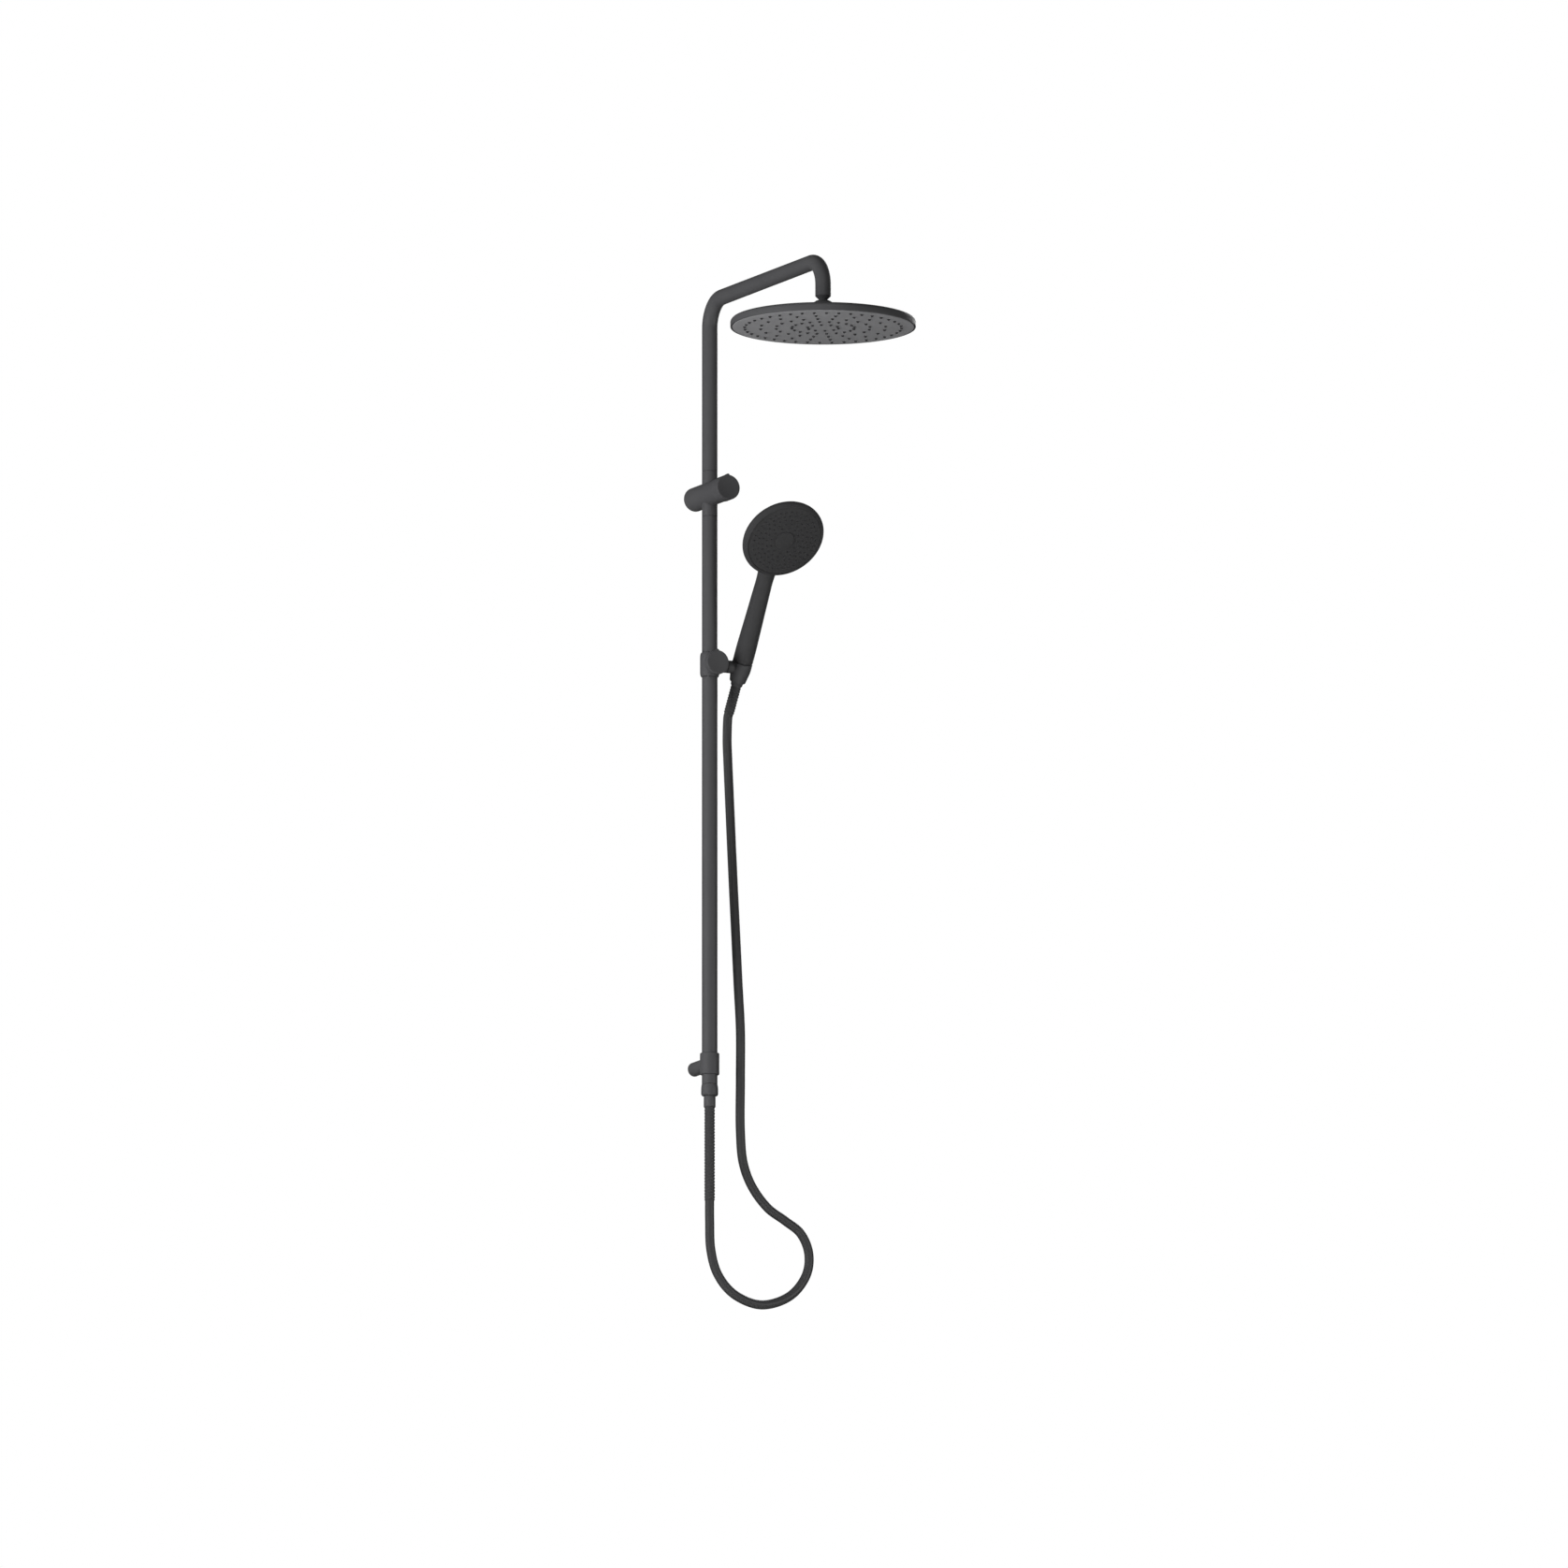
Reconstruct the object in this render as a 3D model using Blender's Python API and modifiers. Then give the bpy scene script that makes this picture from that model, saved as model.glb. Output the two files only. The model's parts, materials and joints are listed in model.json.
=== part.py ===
"""Rainfall shower column: wall-fed diverter, gooseneck rain head, sliding handset and hose.

Frame: metres, +Z up, -Y towards the user. The wall is the plane y = 0 and the origin is
the centre of the water inlet's wall face.
"""

from math import atan2, cos, degrees, radians, sin, sqrt

import bmesh
import bpy
from mathutils import Vector

MM = 0.001

# --- Driving dimensions -----------------------------------------------------------------

# Clearance between pieces that touch, and the running gap round what slides or turns.
GAP = 0.3 * MM

# Riser, arm and rail tubes.
TUBE_RADIUS = 11.0 * MM
TUBE_WALL = 1.2 * MM
WALL_DISTANCE = 50.0 * MM
ARM_HEIGHT = 275.0 * MM
ARM_REACH = 360.0 * MM
BEND_RADIUS = 38.0 * MM
DROP_LENGTH = 54.0 * MM
BRACKET_DROP = 813.0 * MM
RAIL_TAIL = 29.0 * MM

# Diverter body: a horizontal barrel from the wall to just in front of the riser.
BARREL_RADIUS = 17.0 * MM
BARREL_FRONT = 41.0 * MM
BARREL_WALL_ROUND = 4.0 * MM
NECK_REACH = 32.0 * MM
SPIGOT_LENGTH = 18.0 * MM
INLET_BORE_RADIUS = 10.5 * MM
INLET_BORE_DEPTH = 16.0 * MM
WATERWAY_RADIUS = 6.0 * MM
CARTRIDGE_RADIUS = 11.2 * MM
CARTRIDGE_LENGTH = 26.0 * MM
CARTRIDGE_NUT_LENGTH = 6.0 * MM
STEM_RADIUS = 3.7 * MM
DIVERTER_KNOB_RADIUS = 17.8 * MM
DIVERTER_KNOB_LENGTH = 18.6 * MM
NIB_RADIUS = 2.2 * MM
NIB_LENGTH = 9.0 * MM

# O-rings in the spigots, and the screws that lock tubes and posts.
ORING_SECTION = 2.0 * MM
TUBE_SCREW_RADIUS = 1.7 * MM
TUBE_SCREW_SUNK = 0.5 * MM
GRUB_RADIUS = 2.3 * MM

# Lower wall bracket.
BRACKET_COLLAR_WALL = 2.65 * MM
BRACKET_COLLAR_HEIGHT = 31.0 * MM
BRACKET_POST_RADIUS = 10.0 * MM
STUD_RADIUS = 6.0 * MM
STUD_LENGTH = 20.0 * MM

# Slider on the rail.
SLIDER_DROP = 244.0 * MM
SLIDER_WALL = 2.65 * MM
SLIDER_HEIGHT = 34.0 * MM
SLIDER_CHAMFER = 3.5 * MM
SLIDER_LIP = 3.0 * MM
LINER_WALL = 0.8 * MM
BOSS_RADIUS = 11.0 * MM
BOSS_FRONT = 17.0 * MM
LOCK_KNOB_RADIUS = 17.0 * MM
LOCK_KNOB_LENGTH = 9.6 * MM
LOCK_SCREW_RADIUS = 3.9 * MM
CLAMP_PAD_LENGTH = 1.0 * MM
ARM_STUB_RADIUS = 9.0 * MM
ARM_STUB_END = 24.8 * MM
FRICTION_WASHER_THICKNESS = 0.8 * MM
PIVOT_PIN_RADIUS = 3.7 * MM
PIVOT_GRUB_X = 18.0 * MM
PIVOT_GRUB_RADIUS = 1.7 * MM

# Handset holder: a conical socket beside the rail, leaning forward.
SOCKET_X = 48.0 * MM
SOCKET_OFFSET = 1.9 * MM
SOCKET_RISE = 2.0 * MM
HANDLE_LEAN = radians(33.6)
SOCKET_TOP = 8.0 * MM
SOCKET_BOTTOM = -22.0 * MM
SOCKET_OUTER_RADIUS = 14.5 * MM
SOCKET_WALL = 2.2 * MM
SEAT_BOTTOM_RADIUS = 9.2 * MM
SLOT_CLEARANCE = 1.4 * MM

# Handset, measured along its handle from the socket's centre.
HANDLE_RADIUS = 14.3 * MM
HANDLE_NECK_RADIUS = 11.9 * MM
DISC_CENTRE = 208.0 * MM
DISC_FORWARD = 21.0 * MM
DISC_TILT = radians(7.8)
DISC_RADIUS = 60.0 * MM
DISC_BACK_DEPTH = 17.5 * MM
DISC_WALL = 3.0 * MM
BEZEL_WIDTH = 5.7 * MM
BEZEL_HEIGHT = 7.2 * MM
SPRAY_PLATE_THICKNESS = 3.0 * MM
CENTRE_CAP_RADIUS = 14.0 * MM
CENTRE_CAP_HEIGHT = 1.1 * MM
NIPPLE_BORE_RADIUS = 5.0 * MM

# Hose, its end fittings and its spring guards.
HOSE_RADIUS = 6.5 * MM
GUARD_WALL = 0.7 * MM
LOWER_GUARD_LENGTH = 132.0 * MM
UPPER_GUARD_LENGTH = 42.0 * MM
HOSE_NUT_RADIUS = 12.0 * MM
THREAD_RADIUS = 10.0 * MM
THREAD_LENGTH = 9.7 * MM
NUT_FLOOR = 3.0 * MM
FERRULE_RADIUS = 8.35 * MM
FERRULE_LENGTH = 14.0 * MM
FERRULE_STEM_RADIUS = 5.7 * MM
FERRULE_BORE_RADIUS = 3.5 * MM
UPPER_NUT_TAIL = 6.0 * MM
HOSE_POINT_SPACING = 30.0 * MM
# Heights where the hose is cut: at the loop's two ends, and twice beside the rail.
LOOP_START_Z = -1050 * MM
LOOP_END_Z = -900 * MM
RUN_END_Z = -540 * MM
BEND_END_Z = -455 * MM

# Rain head and its ball joint.
HEAD_RADIUS = 130.0 * MM
HEAD_THICKNESS = 12.2 * MM
HEAD_DROP = 26.6 * MM
HEAD_RIM_ROUND = 5.5 * MM
HEAD_WALL = 1.6 * MM
FACEPLATE_THICKNESS = 2.2 * MM
MAT_THICKNESS = 1.5 * MM
BALL_DROP = 18.0 * MM
BALL_RADIUS = 10.0 * MM
BALL_NECK_RADIUS = 5.5 * MM
BALL_STEM_CONE = 5.3 * MM
BALL_BORE_RADIUS = 3.5 * MM
BALL_NUT_RADIUS = 15.0 * MM
BALL_NUT_MOUTH_RADIUS = 8.8 * MM
BALL_NUT_CROWN = 1.0 * MM
BALL_NUT_RIM = 0.9 * MM
HUB_RADIUS = 12.0 * MM
HUB_BORE_RADIUS = 8.0 * MM
REGULATOR_THICKNESS = 3.0 * MM

# Facets round a turned piece.
ROUND = 16
FINE_ROUND = 24
WIDE_ROUND = 40

# --- Places worked out from the driving dimensions --------------------------------------

BORE_RADIUS = TUBE_RADIUS - TUBE_WALL
SPIGOT_RADIUS = BORE_RADIUS - GAP
BRACKET_COLLAR_RADIUS = TUBE_RADIUS + BRACKET_COLLAR_WALL
SLIDER_RADIUS = TUBE_RADIUS + SLIDER_WALL
BRACKET_Z = -BRACKET_DROP
SLIDER_Z = -SLIDER_DROP
RAIL_BOTTOM = BRACKET_Z - RAIL_TAIL
DROP_BOTTOM = ARM_HEIGHT - DROP_LENGTH
BALL_Z = DROP_BOTTOM - BALL_DROP
BARREL_LENGTH = WALL_DISTANCE + BARREL_FRONT
CHAMBER_START = WALL_DISTANCE + WATERWAY_RADIUS
GUARD_INNER = HOSE_RADIUS + GAP
GUARD_OUTER = GUARD_INNER + GUARD_WALL
SPIGOT_END = NECK_REACH + SPIGOT_LENGTH
TUBE_SCREW_Z = SPIGOT_END - 5 * MM
ORING_Z = NECK_REACH + 9 * MM

# Rotations that take a turned piece's +Z to the front (-Y) and to the side (+X).
TO_FRONT = (radians(90), 0, 0)
TO_SIDE = (0, radians(90), 0)
TO_BELOW = (radians(180), 0, 0)
# Half a facet, so that a bore's edges don't run through the edges of one that crosses it.
HALF_FACET = (0, 0, radians(180 / ROUND))

COLLECTION = "rainfall_shower_column"
CUTTERS = "cutters"


# --- Modelling helpers ------------------------------------------------------------------

def clear_scene():
    for obj in list(bpy.data.objects):
        bpy.data.objects.remove(obj, do_unlink=True)


def collection(name):
    found = bpy.data.collections.get(name)
    if found is None:
        found = bpy.data.collections.new(name)
        bpy.context.scene.collection.children.link(found)
    return found


def material(name, colour, metallic, roughness):
    mat = bpy.data.materials.new(name)
    mat.use_nodes = True
    shader = mat.node_tree.nodes["Principled BSDF"]
    shader.inputs["Base Color"].default_value = (*colour, 1)
    shader.inputs["Metallic"].default_value = metallic
    shader.inputs["Roughness"].default_value = roughness
    return mat


def add_object(name, data, mat, parent=None, location=(0, 0, 0), rotation=(0, 0, 0)):
    """A cutter has no material: it goes in the cutters' collection and is never drawn."""
    obj = bpy.data.objects.new(name, data)
    obj.parent = parent
    obj.location = location
    obj.rotation_euler = rotation
    if mat is None:
        obj.display_type = "WIRE"
        obj.hide_render = True
        collection(CUTTERS).objects.link(obj)
    else:
        data.materials.append(mat)
        collection(COLLECTION).objects.link(obj)
    return obj


def frame_empty(name, parent=None, location=(0, 0, 0), rotation=(0, 0, 0)):
    empty = bpy.data.objects.new(name, None)
    empty.parent = parent
    empty.location = location
    empty.rotation_euler = rotation
    collection(COLLECTION).objects.link(empty)
    return empty


def turned(name, profile, mat, parent=None, location=(0, 0, 0), rotation=(0, 0, 0),
           facets=ROUND):
    """Spin a (radius, height) profile round +Z. It runs down the outer side, and back up
    the bore when the piece is a ring; a solid piece starts and ends on the axis."""
    mesh = bpy.data.meshes.new(name)
    points = [(radius, 0, height) for radius, height in profile]
    edges = [(i, i + 1) for i in range(len(points) - 1)]
    if profile[0][0] > 0:
        edges.append((len(points) - 1, 0))
    mesh.from_pydata(points, edges, [])
    obj = add_object(name, mesh, mat, parent, location, rotation)
    spin = obj.modifiers.new("Spin", "SCREW")
    spin.steps = facets
    spin.render_steps = facets
    spin.use_merge_vertices = True
    spin.merge_threshold = 0.000001
    spin.use_smooth_shade = True
    return obj


def rod(name, radius, bottom, top, mat, **place):
    return turned(name, [(0, top), (radius, top), (radius, bottom), (0, bottom)], mat, **place)


def ring(name, outer, inner, bottom, top, mat, **place):
    profile = [(outer, top), (outer, bottom), (inner, bottom), (inner, top)]
    return turned(name, profile, mat, **place)


def socket_screw(name, radius, bottom, top, mat, **place):
    """A headless screw with a key socket half its radius wide in its top end."""
    key = radius / 2
    depth = (top - bottom) / 2
    profile = [(0, top - depth), (key, top - depth), (key, top), (radius, top),
               (radius, bottom), (0, bottom)]
    return turned(name, profile, mat, facets=12, **place)


def boolean(obj, other, operation):
    modifier = obj.modifiers.new(other.name, "BOOLEAN")
    modifier.operation = operation
    modifier.solver = "EXACT"
    modifier.object = other


def cut(obj, *cutters):
    """Cuts come last, so the seams that they leave are closed here."""
    for cutter in cutters:
        boolean(obj, cutter, "DIFFERENCE")
    close = obj.modifiers.new("Close", "WELD")
    close.merge_threshold = 0.00002


def join(obj, *others):
    for other in others:
        boolean(obj, other, "UNION")


def arc(centre_r, centre_z, radius, start, end, steps):
    """Points on a circle in a profile's plane, from one angle in degrees to another."""
    angles = [radians(start + (end - start) * i / steps) for i in range(steps + 1)]
    return [(centre_r + radius * cos(a), centre_z + radius * sin(a)) for a in angles]


def swept(name, points, radii, mat, sides, caps=True, parent=None):
    """A tube along points, one radius for each, turned into a plain mesh."""
    curve = bpy.data.curves.new(name, "CURVE")
    curve.dimensions = "3D"
    curve.bevel_depth = 1.0
    curve.bevel_resolution = (sides - 4) // 2
    curve.use_fill_caps = caps
    spline = curve.splines.new("POLY")
    spline.points.add(len(points) - 1)
    for point, place, radius in zip(spline.points, points, radii):
        point.co = (*place, 1)
        point.radius = radius
    guide = bpy.data.objects.new(name + "_guide", curve)
    collection(CUTTERS).objects.link(guide)
    depsgraph = bpy.context.evaluated_depsgraph_get()
    mesh = bpy.data.meshes.new_from_object(guide.evaluated_get(depsgraph))
    bpy.data.objects.remove(guide, do_unlink=True)
    work = bmesh.new()
    work.from_mesh(mesh)
    bmesh.ops.remove_doubles(work, verts=work.verts, dist=0.000001)
    work.to_mesh(mesh)
    work.free()
    mesh.materials.clear()
    mesh.shade_smooth()
    mesh.set_sharp_from_angle(angle=radians(35))
    return add_object(name, mesh, mat, parent)


def bend(corner, leg_in, leg_out, radius, steps):
    """Points of a quarter bend at a corner, between two unit directions."""
    start = corner - leg_in * radius
    return [start + leg_in * radius * sin(a) + leg_out * radius * (1 - cos(a))
            for a in (radians(90) * i / steps for i in range(steps + 1))]


# --- Materials --------------------------------------------------------------------------

clear_scene()
BLACK_METAL = material("matt_black_metal", (0.060, 0.060, 0.063), 0.6, 0.42)
FACE_PLASTIC = material("grey_face_plastic", (0.140, 0.140, 0.145), 0.0, 0.5)
BLACK_PLASTIC = material("black_plastic", (0.050, 0.050, 0.053), 0.0, 0.4)
HOSE_PLASTIC = material("black_hose", (0.045, 0.045, 0.047), 0.0, 0.38)
RUBBER = material("black_rubber", (0.030, 0.030, 0.030), 0.0, 0.8)
BRASS = material("brass", (0.62, 0.45, 0.18), 1.0, 0.35)
STEEL = material("stainless_steel", (0.62, 0.62, 0.63), 1.0, 0.3)

RISER_FOOT = Vector((0, -WALL_DISTANCE, 0))


# --- Fixed column -----------------------------------------------------------------------

def tube_lock_hole(name, height):
    """The hole for a tube's locking screw, at the back of the riser."""
    place = RISER_FOOT + Vector((0, 0, height))
    floor = SPIGOT_RADIUS - 2 * MM
    return rod(name, TUBE_SCREW_RADIUS + GAP, -TUBE_RADIUS - MM, -floor, None,
               location=place, rotation=TO_FRONT)


def tube_lock_screw(name, height):
    place = RISER_FOOT + Vector((0, 0, height))
    tip = SPIGOT_RADIUS - 2 * MM + GAP
    return socket_screw(name, TUBE_SCREW_RADIUS, tip, TUBE_RADIUS - TUBE_SCREW_SUNK, STEEL,
                        location=place, rotation=(radians(-90), 0, 0))


def gooseneck(lock_hole):
    corner_low = RISER_FOOT + Vector((0, 0, ARM_HEIGHT))
    corner_high = corner_low + Vector((0, -ARM_REACH, 0))
    up, forward, down = Vector((0, 0, 1)), Vector((0, -1, 0)), Vector((0, 0, -1))
    path = [RISER_FOOT + Vector((0, 0, NECK_REACH + GAP))]
    path += bend(corner_low, up, forward, BEND_RADIUS, 6)
    path += bend(corner_high, forward, down, BEND_RADIUS, 6)
    path.append(Vector((corner_high.x, corner_high.y, DROP_BOTTOM)))
    tube = swept("gooseneck_tube", path, [TUBE_RADIUS] * len(path), BLACK_METAL, ROUND,
                 caps=False)
    wall = tube.modifiers.new("Wall", "SOLIDIFY")
    wall.thickness = TUBE_WALL
    wall.offset = -1
    wall.use_even_offset = True
    cut(tube, lock_hole)


def rail(lock_hole):
    tube = ring("rail_tube", TUBE_RADIUS, BORE_RADIUS, RAIL_BOTTOM, -NECK_REACH - GAP,
                BLACK_METAL, location=RISER_FOOT)
    cut(tube, lock_hole)


def diverter_body(lock_holes):
    edge = BARREL_WALL_ROUND
    profile = [(0, BARREL_LENGTH), (BARREL_RADIUS - MM / 2, BARREL_LENGTH),
               (BARREL_RADIUS, BARREL_LENGTH - MM / 2)]
    profile += arc(BARREL_RADIUS - edge, edge, edge, 0, -90, 4)
    profile.append((0, 0))
    body = turned("diverter_body", profile, BLACK_METAL, rotation=TO_FRONT)

    groove = ORING_SECTION + 2 * GAP
    groove_radius = SPIGOT_RADIUS - ORING_SECTION - GAP
    upper = [(0, SPIGOT_END), (SPIGOT_RADIUS, SPIGOT_END),
             (SPIGOT_RADIUS, ORING_Z + groove / 2), (groove_radius, ORING_Z + groove / 2),
             (groove_radius, ORING_Z - groove / 2), (SPIGOT_RADIUS, ORING_Z - groove / 2),
             (SPIGOT_RADIUS, NECK_REACH), (TUBE_RADIUS, NECK_REACH)]
    lower = [(radius, -height) for radius, height in reversed(upper)]
    join(body, turned("riser_necks", upper + lower, None, location=RISER_FOOT))

    chamber = CARTRIDGE_RADIUS + GAP
    thread = CARTRIDGE_RADIUS + 2.4 * MM
    nut_start = BARREL_LENGTH - CARTRIDGE_NUT_LENGTH - 1.0 * MM
    bore = [(0, BARREL_LENGTH + MM), (thread, BARREL_LENGTH + MM), (thread, nut_start),
            (chamber, nut_start), (chamber, CHAMBER_START - MM),
            (WATERWAY_RADIUS + MM, CHAMBER_START - MM),
            (WATERWAY_RADIUS + MM, INLET_BORE_DEPTH), (INLET_BORE_RADIUS, INLET_BORE_DEPTH),
            (INLET_BORE_RADIUS, -MM), (0, -MM)]
    grub_hole = rod("inlet_grub_hole", GRUB_RADIUS + GAP, INLET_BORE_RADIUS - MM,
                    BARREL_RADIUS + MM, None, location=(0, -INLET_BORE_DEPTH / 2, 0),
                    rotation=TO_BELOW)
    cut(body, *lock_holes, turned("barrel_bore", bore, None, rotation=TO_FRONT, facets=20),
        rod("riser_waterway", WATERWAY_RADIUS, -SPIGOT_END - MM, SPIGOT_END + MM, None,
            location=RISER_FOOT, rotation=HALF_FACET), grub_hole)


def inlet_pieces():
    ring("inlet_filter_washer", INLET_BORE_RADIUS - GAP, WATERWAY_RADIUS - MM,
         INLET_BORE_DEPTH - 2.5 * MM, INLET_BORE_DEPTH - GAP, RUBBER, rotation=TO_FRONT)
    socket_screw("inlet_grub_screw", GRUB_RADIUS, INLET_BORE_RADIUS + GAP,
                 BARREL_RADIUS - 1.5 * MM, STEEL, location=(0, -INLET_BORE_DEPTH / 2, 0),
                 rotation=TO_BELOW)
    for name, height in (("upper_tube_oring", ORING_Z), ("lower_tube_oring", -ORING_Z)):
        oring(name, SPIGOT_RADIUS, RISER_FOOT + Vector((0, 0, height)))


def oring(name, outer, place):
    half = ORING_SECTION / 2
    section = arc(outer - half, 0, half, 90, -270, 6)[:-1]
    turned(name, section, RUBBER, location=place, facets=12)


def cartridge():
    start = CHAMBER_START + MM
    end = start + CARTRIDGE_LENGTH
    bore = STEM_RADIUS + GAP
    floor = start + 3 * MM
    profile = [(0, floor), (bore, floor), (bore, end), (CARTRIDGE_RADIUS, end),
               (CARTRIDGE_RADIUS, start), (0, start)]
    turned("diverter_cartridge", profile, BRASS, rotation=TO_FRONT)
    nut_top = BARREL_LENGTH - 0.6 * MM
    ring("cartridge_nut", CARTRIDGE_RADIUS + 2.1 * MM, bore + MM,
         nut_top - CARTRIDGE_NUT_LENGTH, nut_top, BRASS, rotation=TO_FRONT)
    return floor


def bracket():
    half = BRACKET_COLLAR_HEIGHT / 2
    chamfer = 2 * MM
    place = RISER_FOOT + Vector((0, 0, BRACKET_Z))
    outer = BRACKET_COLLAR_RADIUS
    profile = [(0, half), (outer - MM, half), (outer, half - chamfer),
               (outer, chamfer - half), (outer - MM, -half), (0, -half)]
    collar = turned("lower_bracket", profile, BLACK_METAL, location=place)
    edge = 0.6 * MM
    post = [(0, 0), (BRACKET_POST_RADIUS - edge, 0), (BRACKET_POST_RADIUS, -edge),
            (BRACKET_POST_RADIUS, -WALL_DISTANCE), (0, -WALL_DISTANCE)]
    join(collar, turned("bracket_post", post, None, location=(0, 0, BRACKET_Z),
                        rotation=(radians(-90), 0, 0)))
    stud_depth = STUD_LENGTH + MM
    cut(collar, rod("bracket_bore", TUBE_RADIUS + GAP, -half - MM, half + MM, None,
                    location=place),
        rod("stud_bore", STUD_RADIUS + GAP, -stud_depth, MM, None,
            location=(0, 0, BRACKET_Z), rotation=(radians(-90), 0, 0)),
        rod("bracket_grub_hole", GRUB_RADIUS + GAP, STUD_RADIUS - MM,
            BRACKET_POST_RADIUS + MM, None, location=(0, -STUD_LENGTH / 2, BRACKET_Z),
            rotation=TO_BELOW))
    ring("lower_wall_stud", STUD_RADIUS, STUD_RADIUS / 2, -STUD_LENGTH, -GAP, BRASS,
         location=(0, 0, BRACKET_Z), rotation=(radians(-90), 0, 0))
    socket_screw("lower_grub_screw", GRUB_RADIUS, STUD_RADIUS + GAP,
                 BRACKET_POST_RADIUS - 0.6 * MM, STEEL,
                 location=(0, -STUD_LENGTH / 2, BRACKET_Z), rotation=TO_BELOW)


def outlet():
    """The rail's outlet: an O-ringed spigot with a hose thread, and the hose's first end."""
    groove = ORING_SECTION + 2 * GAP
    groove_radius = SPIGOT_RADIUS - ORING_SECTION - GAP
    place = RISER_FOOT + Vector((0, 0, RAIL_BOTTOM))
    seal = SPIGOT_LENGTH / 2
    thread_end = -GAP - THREAD_LENGTH
    profile = [(SPIGOT_RADIUS, SPIGOT_LENGTH), (SPIGOT_RADIUS, seal + groove / 2),
               (groove_radius, seal + groove / 2), (groove_radius, seal - groove / 2),
               (SPIGOT_RADIUS, seal - groove / 2), (SPIGOT_RADIUS, -GAP),
               (THREAD_RADIUS, -GAP), (THREAD_RADIUS, thread_end),
               (WATERWAY_RADIUS, thread_end), (WATERWAY_RADIUS, SPIGOT_LENGTH)]
    turned("outlet_fitting", profile, BRASS, location=place)
    oring("outlet_oring", SPIGOT_RADIUS, place + Vector((0, 0, seal)))

    washer_top = thread_end - GAP
    washer_bottom = washer_top - 1.4 * MM
    ring("outlet_washer", THREAD_RADIUS, WATERWAY_RADIUS + GAP, washer_bottom, washer_top,
         RUBBER, location=place)
    flange_top = washer_bottom - GAP
    flange_bottom = flange_top - 1.4 * MM
    floor_top = flange_bottom - GAP
    nut_bottom = floor_top - NUT_FLOOR
    hole = FERRULE_STEM_RADIUS + GAP
    nut = [(TUBE_RADIUS + GAP, -0.4 * MM), (HOSE_NUT_RADIUS, -5 * MM),
           (HOSE_NUT_RADIUS, nut_bottom + 2 * MM), (HOSE_NUT_RADIUS - 1.6 * MM, nut_bottom),
           (hole, nut_bottom), (hole, floor_top), (THREAD_RADIUS + GAP, floor_top),
           (THREAD_RADIUS + GAP, -0.4 * MM)]
    turned("hose_lower_nut", nut, BLACK_METAL, location=place)
    sleeve_top = nut_bottom - 1.8 * MM
    sleeve_bottom = sleeve_top - FERRULE_LENGTH
    ferrule = [(THREAD_RADIUS - GAP, flange_top), (THREAD_RADIUS - GAP, flange_bottom),
               (FERRULE_STEM_RADIUS, flange_bottom), (FERRULE_STEM_RADIUS, sleeve_top),
               (FERRULE_RADIUS - MM / 2, sleeve_top), (FERRULE_RADIUS, sleeve_top - MM),
               (FERRULE_RADIUS, sleeve_bottom), (FERRULE_BORE_RADIUS, sleeve_bottom),
               (FERRULE_BORE_RADIUS, flange_top)]
    turned("hose_lower_ferrule", ferrule, BLACK_METAL, location=place)
    guard_top = sleeve_bottom - GAP
    ring("hose_lower_spring", GUARD_OUTER, GUARD_INNER, guard_top - LOWER_GUARD_LENGTH,
         guard_top, HOSE_PLASTIC, location=place)
    return RAIL_BOTTOM + guard_top


# --- Diverter knob ----------------------------------------------------------------------

def knob_with_nib(name, radius, back, length, bore, bore_depth, parent, hole=None):
    """A round knob facing front, with a blind bore behind and a nib on top of its rim."""
    front = back + length
    edge = 1.2 * MM
    profile = [(0, front), (radius - edge, front), (radius, front - edge),
               (radius, back + edge / 2), (radius - edge / 2, back), (bore, back),
               (bore, back + bore_depth), (0, back + bore_depth)]
    knob = turned(name, profile, BLACK_METAL, parent=parent, rotation=TO_FRONT, facets=FINE_ROUND)
    nib = rod(name + "_nib", NIB_RADIUS, front - NIB_LENGTH, front - MM / 2, None,
              parent=parent, location=(0, 0, radius - MM / 4), rotation=TO_FRONT)
    join(knob, nib)
    if hole is not None:
        cut(knob, hole)


def diverter_knob(cartridge_floor):
    back = BARREL_LENGTH + GAP + 0.1 * MM
    bore = STEM_RADIUS + GAP
    stem_end = back + 12 * MM
    screw_place = (0, -back - 8 * MM, 0)
    hole = rod("knob_screw_hole", TUBE_SCREW_RADIUS + GAP, 0, DIVERTER_KNOB_RADIUS + MM,
               None, location=screw_place, rotation=TO_BELOW)
    knob_with_nib("diverter_knob", DIVERTER_KNOB_RADIUS, back, DIVERTER_KNOB_LENGTH, bore,
                  stem_end - back + GAP, None, hole)
    rod("cartridge_stem", STEM_RADIUS, cartridge_floor + GAP, stem_end, BRASS,
        rotation=TO_FRONT)
    socket_screw("knob_grub_screw", TUBE_SCREW_RADIUS, STEM_RADIUS + GAP,
                 STEM_RADIUS + 7 * MM, STEEL, location=screw_place, rotation=TO_BELOW)


# --- Slider -----------------------------------------------------------------------------

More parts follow.
